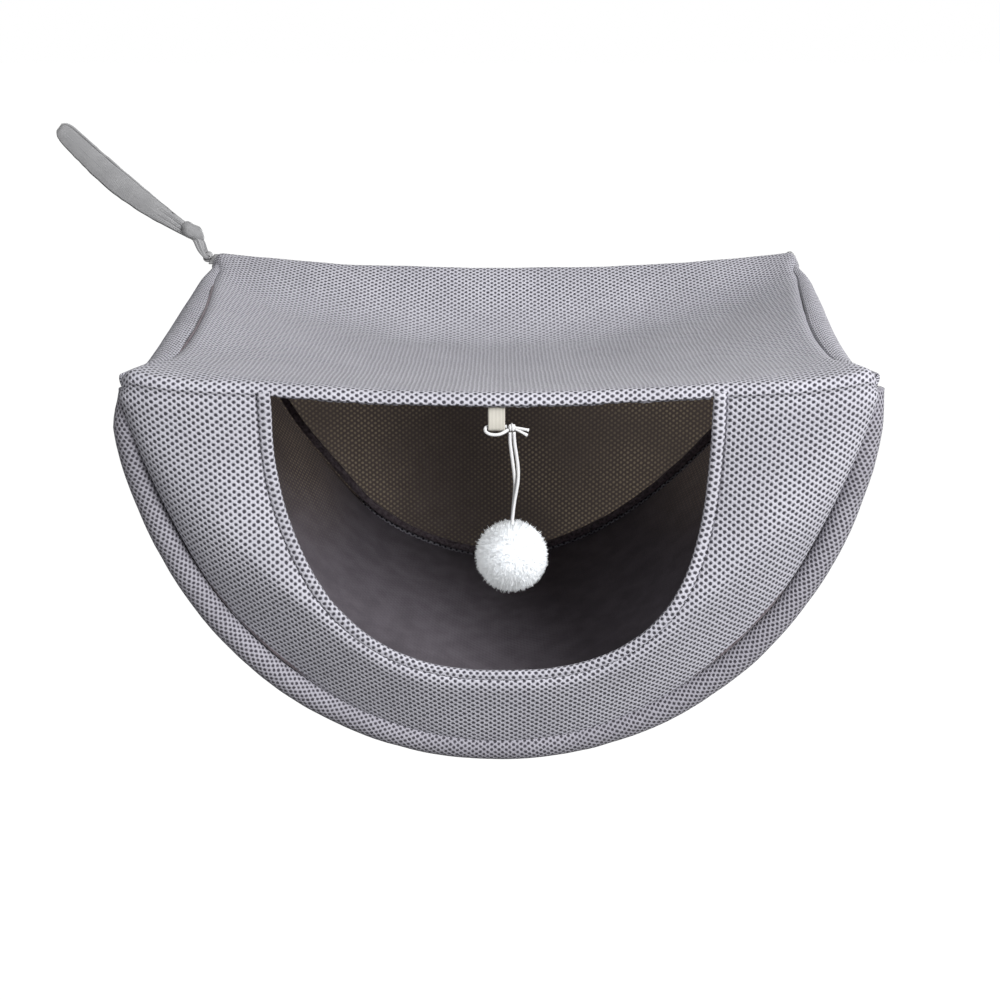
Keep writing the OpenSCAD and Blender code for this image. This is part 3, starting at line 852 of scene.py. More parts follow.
@dataclass
class Shell:
    """The roof and the front panel, one cloth that bends over the front edge."""

    shape: BedShape
    palette: Palette
    bend: float = 6.5
    cheek_columns: int = 20
    middle_columns: int = 52
    roof_rows: int = 34
    bend_rows: int = 7
    straight_rows: int = 3
    arc_rows: int = 92
    rear_edge: tuple[tuple[float, float], ...] = ((154.0, -8.0), (153.8, -4.0), (152.0, -1.2),
                                                  (148.5, -0.1))
    tuck: tuple[float, float] = (1.4, 0.5)
    lap: float = 0.6
    runs: dict[int, list[float]] = field(default_factory=dict)

    @property
    def rows(self) -> int:
        """Rows of faces from the roof's rear edge to the end of its front bend."""
        return len(self.rear_edge) + self.roof_rows + self.bend_rows + 1

    @property
    def columns(self) -> int:
        """Columns of faces across the roof."""
        return 2 * self.cheek_columns + self.middle_columns

    @property
    def front_rows(self) -> int:
        """Rows of faces round the front panel."""
        return self.arc_rows + 2 * self.straight_rows

    def inner_edge(self, turn: float) -> tuple[float, float]:
        """X and Z of the front panel's edge at the opening, which laps the hem."""
        return self.shape.mouth(turn, self.shape.hem_at(turn) - self.lap)

    def cheek_x(self, share: float, side: float) -> float:
        """X along the top of the front panel, from the opening to the corner."""
        inner = self.inner_edge(0.0 if side > 0 else 180.0)[0]
        outer = side * self.shape.roof_half(-self.shape.length / 2, side)
        return inner + (outer - inner) * share

    @staticmethod
    def spread(share: float) -> float:
        """A share from the opening to the corner, with its steps closer together near the corner."""
        return 1 - (1 - share) ** 1.4

    def front_x(self, column: int) -> float:
        """X of a roof column where it reaches the front."""
        n, m = self.cheek_columns, self.middle_columns
        if column <= n:
            return self.cheek_x(self.spread(1 - column / n), -1.0)
        if column >= n + m:
            return self.cheek_x(self.spread((column - n - m) / n), 1.0)
        left, right = self.cheek_x(0.0, -1.0), self.cheek_x(0.0, 1.0)
        return left + (right - left) * (column - n) / m

    def bend_start(self, x: float) -> float:
        """Y where the roof starts to bend down."""
        side = -1.0 if x < 0 else 1.0
        inner, outer = self.cheek_x(0.0, side), self.cheek_x(1.0, side)
        share = min(1.0, max(0.0, (x - inner) / (outer - inner)))
        return self.shape.front_y - self.shape.forward(share, 0.0) + self.bend

    def bend_end(self, x: float) -> float:
        """Height where the roof's front bend ends."""
        return self.shape.roof_z(x, self.bend_start(x)) - self.bend

    def roof_spot(self, a: float, b: float) -> Vector:
        """A point of the roof for a share across and a share from the rear to the front."""
        shape = self.shape
        column = round(a * self.columns)
        row = round(b * self.rows)
        x_front = self.front_x(column)
        side = -1.0 if x_front < 0 else 1.0
        out = x_front / shape.roof_half(-shape.length / 2, side)
        start = self.bend_start(x_front)
        if row < len(self.rear_edge):
            y, fall = self.rear_edge[row]
            x = out * shape.roof_half(min(y, shape.roof_end), side)
            return shape.drift(Vector((x, y, shape.roof_z(x, min(y, shape.roof_end)) + fall)))
        row -= len(self.rear_edge)
        if row <= self.roof_rows:
            y = shape.roof_end + (start - shape.roof_end) * row / self.roof_rows
            x = out * shape.roof_half(y, side)
            return shape.drift(Vector((x, y, shape.roof_z(x, y))))
        z = self.bend_end(x_front)
        if row > self.roof_rows + self.bend_rows:
            return Vector((x_front, start - self.bend + self.tuck[0], z - self.tuck[1]))
        turn = math.pi / 2 * (row - self.roof_rows) / self.bend_rows
        return Vector((x_front, start - self.bend * math.sin(turn), z + self.bend * math.cos(turn)))

    def run_back(self, column: int, row: int) -> float:
        """Length of cloth from the end of the front bend back to a row of the roof."""
        if column not in self.runs:
            a = column / self.columns
            line = [self.roof_spot(a, i / self.rows) for i in range(self.rows + 1)]
            run = [0.0]
            for near, far in zip(line[::-1], line[-2::-1]):
                run.append(run[-1] + math.hypot(far.y - near.y, far.z - near.z))
            self.runs[column] = run[::-1]
        return self.runs[column][row]

    def roof_flat(self, a: float, b: float) -> tuple[float, float]:
        """The roof's place on the flat cloth, measured back from the end of the bend."""
        column = round(a * self.columns)
        x = self.front_x(column)
        side = -1.0 if x < 0 else 1.0
        inner = self.cheek_x(0.0, side)
        share = (x - inner) / (self.cheek_x(1.0, side) - inner)
        spare = self.front_flat(0.0 if side > 0 else 1.0, share)[0] - x if share > 0 else 0.0
        return self.roof_spot(a, b).x + spare, self.run_back(column, round(b * self.rows))

    def outer_edge(self, turn: float) -> tuple[float, float]:
        """X and Z of the front panel's outer seam, which comes out to the corners as it rises."""
        shape = self.shape
        z = shape.rim(turn, 6.0, shape.front_fullness)[1]
        inset = 8.8 - 2.8 * ease(-190.0, -244.0, z) - 13.5 * max(0.0, (z + 113) / 100) ** 1.9
        return shape.rim(turn, inset, shape.front_fullness)

    def edges(self, row: int) -> tuple[Vector, Vector, float]:
        """The inner and outer ends of one row of the front panel, and its angle."""
        near = min(row, self.front_rows - row)
        side = 1.0 if row <= self.front_rows / 2 else -1.0
        turn = 180.0 * min(max(row - self.straight_rows, 0), self.arc_rows) / self.arc_rows
        x_in, z_in = self.inner_edge(turn)
        x_out, z_out = self.outer_edge(turn)
        corner = self.cheek_x(1.0, side)
        if near < self.straight_rows:
            down = near / self.straight_rows
            top_in, top_out = self.bend_end(x_in) - self.tuck[1], self.bend_end(corner) - self.tuck[1]
            z_in = top_in + (z_in - top_in) * down
            z_out = top_out + (z_out - top_out) * down
            x_out = corner + (x_out - corner) * down
        return Vector((x_in, 0, z_in)), Vector((x_out, 0, z_out)), turn

    def front_spot(self, a: float, b: float) -> Vector:
        """A point of the front panel for a share round and a share outwards."""
        shape = self.shape
        row = round(a * self.front_rows)
        inner, outer, turn = self.edges(row)
        here = inner.lerp(outer, b)
        near = min(row, self.front_rows - row)
        if near == 0:
            here.z = self.bend_end(here.x) - self.tuck[1]
        ripple = 0.5 * waver(here.x, 0.0, here.z, 38.0) * math.sin(math.pi * b)
        ripple *= ease(-2.0, -40.0, here.z)
        under = self.tuck[0] * (1.0, 0.35)[near] if near < 2 else 0.0
        here.y = shape.front_y - shape.forward(b, turn) + (ripple if near else 0.0) + under
        return here

    def front_flat(self, a: float, b: float) -> tuple[float, float]:
        """The front panel's place on the flat cloth, laid out along its own curve."""
        row = round(a * self.front_rows)
        inner, outer, turn = self.edges(row)
        span = (outer - inner).length
        run, steps = 0.0, 24
        for i in range(steps):
            low, high = b * i / steps, b * (i + 1) / steps
            rise = self.shape.forward(high, turn) - self.shape.forward(low, turn)
            run += math.hypot(span * (high - low), rise)
        way, here = (outer - inner) / span, inner.lerp(outer, b)
        out = abs(here.x) / abs(self.cheek_x(1.0, 1.0))
        top = self.shape.edge_z(self.shape.front_line, out) - self.bend
        if row in (0, self.front_rows):
            return inner.x + way.x * run, 0.0
        return inner.x + way.x * run, min(0.0, here.z - top) + way.z * (run - span * b)

    def build(self) -> None:
        """Makes the cloth as one sheet."""
        bm = bmesh.new()
        Cutting.lay(bm, self.columns, self.rows, self.roof_spot, self.roof_flat)
        Cutting.lay(bm, self.front_rows, self.cheek_columns,
                    lambda a, b: self.front_spot(a, self.spread(b)),
                    lambda a, b: self.front_flat(a, self.spread(b)))
        bmesh.ops.remove_doubles(bm, verts=bm.verts, dist=0.05 * MM)
        bmesh.ops.recalc_face_normals(bm, faces=bm.faces)
        cloth = Cutting.piece(bm, "roof_and_front", [self.palette.mesh, self.palette.inside],
                              outward_from=Vector((0, 0, -0.12)))
        Cutting.mark(cloth, "shut",
                     lambda _x, y, _z: 0.45 * ease(125.0, 70.0, y) * ease(-150.0, -138.0, y))
        Cutting.thicken(cloth, self.shape.cloth, back=1)
        Cutting.settle(cloth, "bed", "mesh", "roof_panel", "front_panel")
        self.hem()

    def hem(self) -> None:
        """Makes the turned hem under the roof's front edge."""
        left, right = self.cheek_x(0.0, -1.0) + 8.5, self.cheek_x(0.0, 1.0) - 8.5
        profile = ((1.1, 2.6), (1.1, 0.8), (1.6, -1.0), (2.9, -2.0), (4.5, -1.2), (5.6, 0.8), (6.0, 3.2))

        def spot(a: float, b: float) -> Vector:
            """A point of the hem for a share along X and a share round the turn."""
            x = left + (right - left) * a
            y, z = profile[round(b * (len(profile) - 1))]
            ragged = 0.7 * waver(x, y, 3.0, 4.0) + 0.6 * waver(x, y, 7.0, 13.0)
            front = self.bend_start(x) - self.bend
            return Vector((x, front + y + 0.2, self.bend_end(x) + z + ragged * (z < 2)))

        bm = bmesh.new()
        Cutting.lay(bm, 150, len(profile) - 1, spot,
                    lambda a, b: (left + (right - left) * a, -10.0 * b))
        # The darker roll finish here is painted shade under the roof's front edge.
        hem = Cutting.piece(bm, "roof_front_hem_cloth", [self.palette.roll],
                            outward_from=Vector((0, -0.147, -0.012)))
        Cutting.thicken(hem, 1.4)
        Cutting.settle(hem, "bed", "mesh", "roof_front_hem")


@dataclass
class Bowl:
    """The half-round wall and the smooth lining inside it."""

    shape: BedShape
    palette: Palette
    end: float = 141.6
    arc_rows: int = 84
    shoulder_rows: int = 6
    depth_rows: int = 26
    around: float = 800.0
    lining_inset: float = 6.6
    lining_rear: float = 147.2

    @property
    def rows(self) -> int:
        """Rows of faces round the bowl, from seam to seam."""
        return self.arc_rows + 2 * self.shoulder_rows

    def section(self, a: float, y: float, inset: float) -> Vector:
        """A point of the bowl's section, from the right seam down and up to the left seam."""
        shape = self.shape
        row = round(a * self.rows)
        near = min(row, self.rows - row)
        side = 1.0 if row <= self.rows / 2 else -1.0
        if near < self.shoulder_rows:
            turn = math.pi / 2 * (1 - near / self.shoulder_rows)
            wide = shape.shoulder(y, side)
            x = shape.width / 2 - wide + (wide - inset) * math.cos(turn)
            z = -shape.shoulder_high + (shape.shoulder_high - inset) * math.sin(turn)
            z -= 3.5 * max(0.0, (math.degrees(turn) - 45) / 45) ** 2
            z -= 3.0 * ease(116.0, 141.0, y) * math.sin(turn)
            lift = 0.7 * shape.corner_lift * shape.corner(y) * math.sin(turn)
            let_out = shape.roof_half(y, side) - (shape.width / 2 - wide - shape.gap)
            return Vector((side * (x + let_out * math.sin(turn)), y, z + lift))
        turn = 180.0 * (row - self.shoulder_rows) / self.arc_rows
        x, z = shape.rim(turn, inset, shape.fullness(y))
        return Vector((x, y, z))

    def spot(self, inset: float, ripple: float, rear: float) -> Spot:
        """A layer of the bowl at an inset.

        Args:
            inset: Distance inside the wall's outer face, in millimetres.
            ripple: Height of the cloth's ripples.
            rear: Where the layer ends at the rear, in millimetres.

        Returns:
            The layer's place for a share round and a share from rear to front.
        """

        def place(a: float, b: float) -> Vector:
            """A point of the layer."""
            y = rear - (rear + self.end) * b
            here = self.section(a, y, inset)
            wide, fine = waver(here.x, y, here.z, 52.0), waver(here.x, y, here.z, 19.0)
            pull = ripple * (0.8 * wide + 0.4 * fine)
            middle = Vector((0, y, -20.0))
            here += (middle - here).normalized() * (0.6 * ripple + pull)
            if not inset:
                reach = ease(125.0, self.end, y) - ease(-125.0, -self.end, y)
                here.y += 5.5 * reach * ease(-28.0, -12.0, here.z)
            return self.shape.drift(self.shape.draw_in(here), inner=inset > 0)

        return place

    def flat(self, a: float, b: float) -> tuple[float, float]:
        """The wall's place on the flat cloth."""
        return a * self.around, b * 2 * self.end

    def build(self) -> None:
        """Makes the wall, and the lining with marks for painted light where daylight shows through the
        wall.
        """
        bm = bmesh.new()
        Cutting.lay(bm, self.rows, self.depth_rows, self.spot(0.0, 0.8, self.end), self.flat)
        wall = Cutting.piece(bm, "wall_cloth", [self.palette.mesh, self.palette.inside],
                             outward_from=Vector((0, 0, -0.08)))
        Cutting.thicken(wall, self.shape.cloth, back=1)
        Cutting.settle(wall, "bed", "mesh", "body_wall")
        bm = bmesh.new()
        inner = self.spot(self.lining_inset, 0.5, self.lining_rear)
        Cutting.lay(bm, self.rows, self.depth_rows, inner, self.flat)
        lining = Cutting.piece(bm, "lining_cloth", [self.palette.lining],
                               outward_from=Vector((0, 0, -0.08)))
        lining.data.flip_normals()
        # Painted light: the lining's glow and light dots grow towards the rear and up the walls.
        Cutting.mark(lining, "lit", lambda _x, y, z: ease(-40.0, 120.0, y) * ease(-205.0, -120.0, z))
        Cutting.thicken(lining, 1.2)
        Cutting.settle(lining, "bed", "lining", "body_lining")


@dataclass
class RearPanel:
    """The mesh panel that closes the rear."""

    shape: BedShape
    palette: Palette
    arc_rows: int = 84
    rings: int = 16
    allowance: float = 4.0
    below_roof: float = 7.0
    inner_y: float = 147.6
    seam_y: float = 149.2
    cloth: float = 4.4

    def under_roof(self, x: float) -> float:
        """Height of the panel's upper edge, under the end of the roof."""
        return self.shape.roof_z(x, self.shape.roof_end) - self.below_roof

    def spot(self, a: float, b: float) -> Vector:
        """A point of the panel for a share round and a share outwards from its top middle."""
        shape = self.shape
        turn = 180.0 * a
        at_top = turn in (0.0, 180.0)
        top = self.under_roof(0.0)
        ring = round(b * (self.rings + 1))
        if ring > self.rings:
            x, z = shape.rim(turn, self.allowance, shape.rear_fullness)
            if at_top:
                return shape.drift(Vector((x, self.seam_y, self.under_roof(0.95 * x))))
            return shape.drift(shape.draw_in(Vector((x, self.seam_y, min(z, top)))))
        b = ring / self.rings
        x, z = shape.rim(turn, shape.shoulder_wide + shape.gap, shape.rear_fullness)
        x, z = x * b, top + (z - top) * b
        level = self.under_roof(x)
        z = level if at_top else min(z, level)
        full = 3.0 * (1 - b * b) * ease(0.0, -60.0, z)
        y = self.inner_y + full + 0.4 * waver(x, 0.0, z, 40.0)
        return shape.drift(Vector((x, y, z)), inner=True)

    def build(self) -> None:
        """Makes the panel, dark inside and light outside."""
        bm = bmesh.new()

        def flat(a: float, b: float) -> tuple[float, float]:
            """The panel's place on the flat cloth."""
            here = self.spot(a, b)
            return here.x, here.z

        Cutting.lay(bm, self.arc_rows, self.rings + 1, self.spot, flat)
        panel = Cutting.piece(bm, "rear_cloth", [self.palette.inside, self.palette.mesh],
                              outward_from=Vector((0, 0.6, -0.12)))
        # Painted light coming through the panel, with painted shade in a soft band just left of the middle.
        Cutting.mark(panel, "lit", lambda x, _y, _z: 1 - 0.55 * math.exp(-((x + 25) / 80) ** 2))
        Cutting.thicken(panel, self.cloth, back=1)
        Cutting.settle(panel, "bed", "mesh", "rear_panel")


@dataclass
class Trim:
    """Rolled edges, the opening's hem, bound seams and seam tapes."""

    shape: BedShape
    palette: Palette
    taper: float = 26.0
    press: float = 18.0
    binding_inset: float = 11.8
    binding_in: float = 6.8
    tape_width: float = 9.5
    edge_width: float = 6.0

    def curve(self, inset: float, fullness: float, y: float, steps: int,
              top: float | None = None) -> list[Vector]:
        """Points along the bowl's outline, with a straight run up at each end."""
        ends = [] if top is None else [top, (top - self.shape.shoulder_high) / 2]
        arc = [self.shape.rim(180.0 * i / steps, inset, fullness) for i in range(steps + 1)]
        right = [Vector((arc[0][0], y, z)) for z in ends]
        left = [Vector((arc[-1][0], y, z)) for z in reversed(ends)]
        return right + [Vector((x, y, z)) for x, z in arc] + left

    def roll(self, end: str, y: float, inset: float, fullness: float, top: float, tuck: float,
             shrink: tuple[float, float], swell: tuple[float, float]) -> None:
        """A padded roll along an edge, thinner where it tucks under the corners.

        Args:
            end: The end of the bed that it goes round, front or rear.
            y: Where the roll's middle lies along Y.
            inset: How far its middle lies inside the bowl's outline, in millimetres.
            fullness: Fullness of its outline.
            top: Height of its ends, in millimetres.
            tuck: How far its ends lie further in, in millimetres.
            shrink: Shares that its ends lose of their thickness and then of their outer side.
            swell: How far it stands out below its left and right ends, in millimetres.
        """
        path = self.curve(inset, fullness, y, 150, top)
        for point in path:
            out = swell[0 if point.x < 0 else 1] * math.exp(-((point.z + 33) / 45) ** 2)
            point.x += math.copysign(out - tuck * ease(top - self.taper, top, point.z), point.x)
        path = [self.shape.drift(self.shape.draw_in(point)) for point in path]
        steps = len(path) - 1

        def radius(a: float, b: float) -> float:
            """The roll's radius, a little lumpy."""
            here = path[round(b * steps)]
            full = 1 - shrink[0] * ease(top - self.taper, top, here.z)
            lump = 0.35 * waver(here.x, 20 * a, here.z, 24.0) + 0.2 * waver(here.x, 9 * a, here.z, 9.0)
            size = (self.shape.roll / 2 + lump) * full
            most = size * (1 - shrink[1] * ease(top - self.press, top, here.z))
            return min(size, most / max(math.cos(math.tau * a), 0.01))

        bm = bmesh.new()
        Cutting.tube(bm, path, radius, 20, AXIS_Y, turned=True)
        # The darker roll finish is painted shade along the roll.
        roll = Cutting.piece(bm, f"{end}_edge_roll_cloth", [self.palette.roll], closed=True)
        Cutting.settle(roll, "bed", "mesh", f"{end}_edge_roll", f"{end}_roll_core")

    def mouth_hem(self) -> None:
        """The folded hem round the sides and bottom of the opening."""
        shape = self.shape
        arc, upright, rise = 120, 4, 4.2

        def turn_at(i: float) -> float:
            """Angle round the opening at a step of the arc."""
            return 180.0 * min(max(i, 0), arc) / arc

        path = []
        for i in range(-upright, arc + upright + 1):
            turn = turn_at(i)
            x, z = shape.mouth(turn, shape.hem_at(turn) / 2)
            y = shape.front_y + 2.5 - shape.forward(0.06, turn)
            path.append(Vector((x, y, z + max(-i, i - arc, 0) * rise)))
        steps = len(path) - 1

        def radius(a: float, b: float) -> float:
            """A flat fold, wider than it is thick."""
            here = path[round(b * steps)]
            turn = math.tau * a
            box = (abs(math.cos(turn)) ** 3 + abs(math.sin(turn)) ** 3) ** (-1 / 3)
            wide = shape.hem_at(turn_at(b * steps - upright))
            return (wide / 2 - 0.1 + 0.25 * waver(here.x, 5 * a, here.z, 11.0)) * box

        bm = bmesh.new()
        Cutting.tube(bm, path, radius, 16, AXIS_Y, squash=0.72)
        hem = Cutting.piece(bm, "opening_hem_cloth", [self.palette.mesh], closed=True)
        Cutting.settle(hem, "bed", "mesh", "opening_hem")

    def binding(self, end: str, y: float, fullness: float) -> None:
        """A thick bound seam inside the bowl, at its front or rear end."""
        line = self.curve(self.binding_inset, fullness, y, 110)
        path = [self.shape.drift(point, inner=True) for point in line]
        steps = len(path) - 1

        def radius(a: float, b: float) -> float:
            """A soft, uneven edge with a stitched groove."""
            here = path[round(b * steps)]
            groove = sum(0.5 * math.exp(-((a - at) / 0.05) ** 2) for at in (0.25, 0.75))
            return 2.9 + 0.5 * waver(here.x, 6 * a, here.z, 16.0) - groove

        bm = bmesh.new()
        Cutting.tube(bm, path, radius, 14, AXIS_Y, squash=1.1)
        seam = Cutting.piece(bm, f"{end}_bound_seam", [self.palette.binding], closed=True)
        Cutting.settle(seam, "bed", "binding", f"{end}_seam_binding")

    def seam_tape(self, side: Side) -> None:
        """A narrow tape under a side seam of the roof, with an edge turned up into the seam; on the left
        that edge shows as a painted shadow line.
        """
        shape, sign, node = self.shape, side.value, f"roof_seam_tape_{side.word}"
        # Painted shade: the edge sits high on the left, where its dark cloth stands in for the seam's
        # shadow line, and low on the right, where it stays hidden.
        sunk = 1.8 if side is Side.LEFT else 3.8
        path, edge = [], []
        for i in range(29):
            y = 141.0 - 10.07 * i
            x = sign * (shape.roof_half(min(max(y, -112.0), 112.0), sign) - 5.5)
            path.append(shape.drift(Vector((x, y, shape.roof_z(x, y) - 6.2))))
            x = sign * (shape.roof_half(y, sign) - 0.3)
            if abs(y) < 104.0:
                low = sunk + 1.5 * ease(60.0, 100.0, abs(y))
                edge.append(shape.drift(Vector((x, y, shape.roof_z(x, y) - low))))
        bm = bmesh.new()
        Cutting.strip(bm, path, AXIS_X, lambda b: self.tape_width, columns=4)
        Cutting.strip(bm, edge, AXIS_Z, lambda b: self.edge_width, columns=2)
        tape = Cutting.piece(bm, f"{node}_cloth", [self.palette.binding],
                             outward_from=Vector((0, 0, 0.5)))
        Cutting.thicken(tape, 1.0, smooth=0)
        Cutting.settle(tape, "bed", "binding", node)

    def build(self) -> None:
        """Makes all the trim."""
        shape = self.shape
        half = shape.length / 2
        self.roll("front", y=8 - half, inset=-0.2, fullness=shape.front_fullness, top=-9.0, tuck=2.0,
                  shrink=(0.38, 0.0), swell=(2.6, -1.0))
        self.roll("rear", y=half, inset=1.6, fullness=shape.rear_fullness, top=-5.0, tuck=4.0,
                  shrink=(0.2, 0.9), swell=(0.0, 0.0))
        self.mouth_hem()
        self.binding("front", self.binding_in - half, shape.front_fullness)
        self.binding("rear", half - self.binding_in, shape.rear_fullness)
        for side in Side:
            self.seam_tape(side)


@dataclass
class Strap:
    """A ribbon strap: a gathered neck through its corner loop, a knot and a long loop."""

    palette: Palette
    side: Side
    end: str
    hinge: tuple[float, float, float]
    length: float
    raised: float = 0.0
    flat_turn: float = 0.0
    width: float = 17.0
    thick: float = 1.1
    eye: float = 3.0
    neck: float = 13.0
    knot: float = 14.0
    bow: float = 0.0
    rise: float = 0.0

    def lifted(self, x: float) -> float:
        """How far the strap stands off its hinge's line at a distance along it."""
        return -self.rise * ease(1.0, self.neck + 5.0, x)

    def place(self) -> Matrix:
        """The move from the strap's own line to its place on the bed."""
        turn = Matrix.Rotation(math.radians(90.0 + self.raised), 4, "Y")
        move = Matrix.Translation(Vector((-self.hinge[0], self.hinge[1], self.hinge[2])) * MM)
        return mirror(self.side is Side.RIGHT) @ move @ turn

    def loop_path(self) -> list[Vector]:
        """Points round the long loop, from the knot out and back."""
        start, end = self.neck + self.knot / 2 - 1.0, self.length - self.eye - self.thick
        radius = self.eye + self.thick / 2
        out = []
        for i in range(33):
            share = i / 32
            apart = 0.5 + (radius - 0.5) * share ** 1.3
            out.append(Vector((start + (end - start) * share, apart, 0.0)))
        turn = []
        for i in range(1, 10):
            angle = math.pi * i / 10
            turn.append(Vector((end + radius * math.sin(angle), radius * math.cos(angle), 0.0)))
        back = [Vector((p.x, -p.y, 0.0)) for p in reversed(out)]
        return out + turn + back

    def ribbon(self, bm: bmesh.types.BMesh) -> None:
        """Adds the long loop, gathered at the knot."""
        path = self.loop_path()
        start = path[0].x
        tilt = Matrix.Rotation(math.radians(self.flat_turn), 3, "X")
        steps = len(path) - 1

        def along(b: float) -> float:
            """Share of the way from the knot to the loop's end."""
            return (path[round(b * steps)].x - start) / (self.length - start)

        def wide(b: float) -> float:
            """The ribbon's width: gathered at the knot, narrower and round at the end."""
            share = along(b)
            slim = (0.57 * ((0.55 - share) / 0.55) ** 1.6 if share < 0.55
                    else 0.33 * ((share - 0.55) / 0.45) ** 1.6)
            tip = max(0.0, (share - 0.93) / 0.073)
            return self.width * (1 - slim) * math.sqrt(max(0.12, 1 - tip * tip))

        def ruffle(a: float, b: float) -> Vector:
            """Pleats at the knot, a soft cup and a slow bow along the loop."""
            here, share = path[round(b * steps)], along(b)
            tight = 1 - ease(0.0, 0.32, share)
            pleat = 1.1 * tight * math.sin(3.2 * math.tau * a + 0.6)
            cup = 0.7 * (1 - tight) * math.sin(math.pi * a) * (1 if here.y > 0 else -1)
            side = self.bow * math.sin(math.pi * min(1.0, share)) + self.lifted(here.x)
            wave = 0.5 * waver(here.x, 10 * a, here.y, 21.0) * (1 - tight)
            fray = 0.5 * waver(here.x, here.y, 3.0, 5.0) * (2 * a - 1) * (1 - tight)
            return tilt @ Vector((0.0, pleat + cup + wave, side + fray))

        turned = [tilt @ p for p in path]
        Cutting.strip(bm, turned, tilt @ AXIS_Z, wide, columns=12, ruffle=ruffle)

    def tie(self, bm: bmesh.types.BMesh) -> None:
        """Adds the neck round the corner loop and the knot."""
        leg = ((17.0, -1.6), (15.0, -2.2), (13.0, -2.8), (11.0, -3.6), (9.0, -4.4), (7.0, -5.1),
               (5.0, -5.6), (3.4, -5.9), (2.0, -5.9), (0.9, -5.4), (0.2, -4.6), (0.0, -3.6), (0.0, -1.8),
               (0.0, 0.0))
        way = [Vector((x, y, self.lifted(x))) for x, y in leg]
        way += [Vector((p.x, -p.y, p.z)) for p in reversed(way[:-1])]

        def neck(a: float, b: float) -> float:
            """A fluted, gathered ribbon, flatter away from the loop."""
            free = ease(0.3, 0.12, min(b, 1 - b))
            flute = 0.2 * math.cos(math.tau * 5 * a)
            return 1.5 + flute + free * (0.3 + 1.5 * abs(math.sin(math.tau * a)))

        Cutting.tube(bm, way, neck, 20, AXIS_Z)
        middle, half = self.neck + self.knot / 2, self.knot / 2 + 3.0
        high = self.lifted(self.length) - 0.2 * self.rise
        spine = [Vector((middle + half * (i / 14 - 1), 0.0, high)) for i in range(29)]

        def lump(a: float, b: float) -> float:
            """A knot with a wrap that slants round it."""
            body = math.sqrt(max(0.02, 1 - (2 * b - 1) ** 2))
            wrap = 0.62 * math.sin(math.tau * (a + 1.6 * b)) + 0.3 * math.sin(math.tau * (3 * a - 2 * b))
            return (6.2 + 0.8 * wrap) * body

        Cutting.tube(bm, spine, lump, 28, AXIS_Z, squash=0.95)

    def build(self) -> None:
        """Makes the strap as one piece."""
        node = f"strap_{self.end}_{self.side.word}"
        bm = bmesh.new()
        self.ribbon(bm)
        bmesh.ops.solidify(bm, geom=bm.faces[:], thickness=-self.thick * MM)
        self.tie(bm)
        strap = Cutting.piece(bm, f"{node}_ribbon", [self.palette.ribbon], merge=0.005, closed=True,
                              place=self.place())
        Cutting.settle(strap, f"{self.end}_{self.side.word}_strap", "ribbon", node)


@dataclass
class CornerLoop:
    """A small webbing loop that a strap hangs from."""

    palette: Palette
    side: Side
    end: str
    hinge: tuple[float, float, float]
    seat_x: float
    ledge: tuple[float, float] | None = None
    width: float = 8.0
    radius: float = 3.3

    def build(self) -> None:
        """Makes the loop and the strip that is sewn to the bed."""
        node = f"corner_loop_{self.end}_{self.side.word}"
        x, y, z = self.hinge
        tail = [Vector((self.seat_x + (x - self.radius - self.seat_x) * i / 4, y, z)) for i in range(4)]
        ring = [Vector((x - self.radius * math.cos(math.tau * i / 28), y,
                        z + self.radius * math.sin(math.tau * i / 28))) for i in range(29)]
        bm = bmesh.new()
        Cutting.strip(bm, tail + ring, AXIS_Y, lambda b: self.width, columns=6)
        if self.ledge:
            low, high = self.ledge
            middle = (self.seat_x + x - self.radius - 0.9) / 2
            strip = [Vector((middle, low + (high - low) * i / 12, z - 0.1)) for i in range(13)]
            Cutting.strip(bm, strip, AXIS_X, lambda b: x - 4.2 - self.seat_x, columns=4)
        bmesh.ops.recalc_face_normals(bm, faces=bm.faces)
        bmesh.ops.solidify(bm, geom=bm.faces[:], thickness=1.2 * MM)
        bmesh.ops.translate(bm, vec=Vector((0, 0, -0.3 * MM)), verts=bm.verts)
        loop = Cutting.piece(bm, f"{node}_webbing", [self.palette.ribbon], merge=0.001, closed=True,
                             place=mirror(self.side is Side.LEFT))
        Cutting.settle(loop, "bed", "ribbon", node)


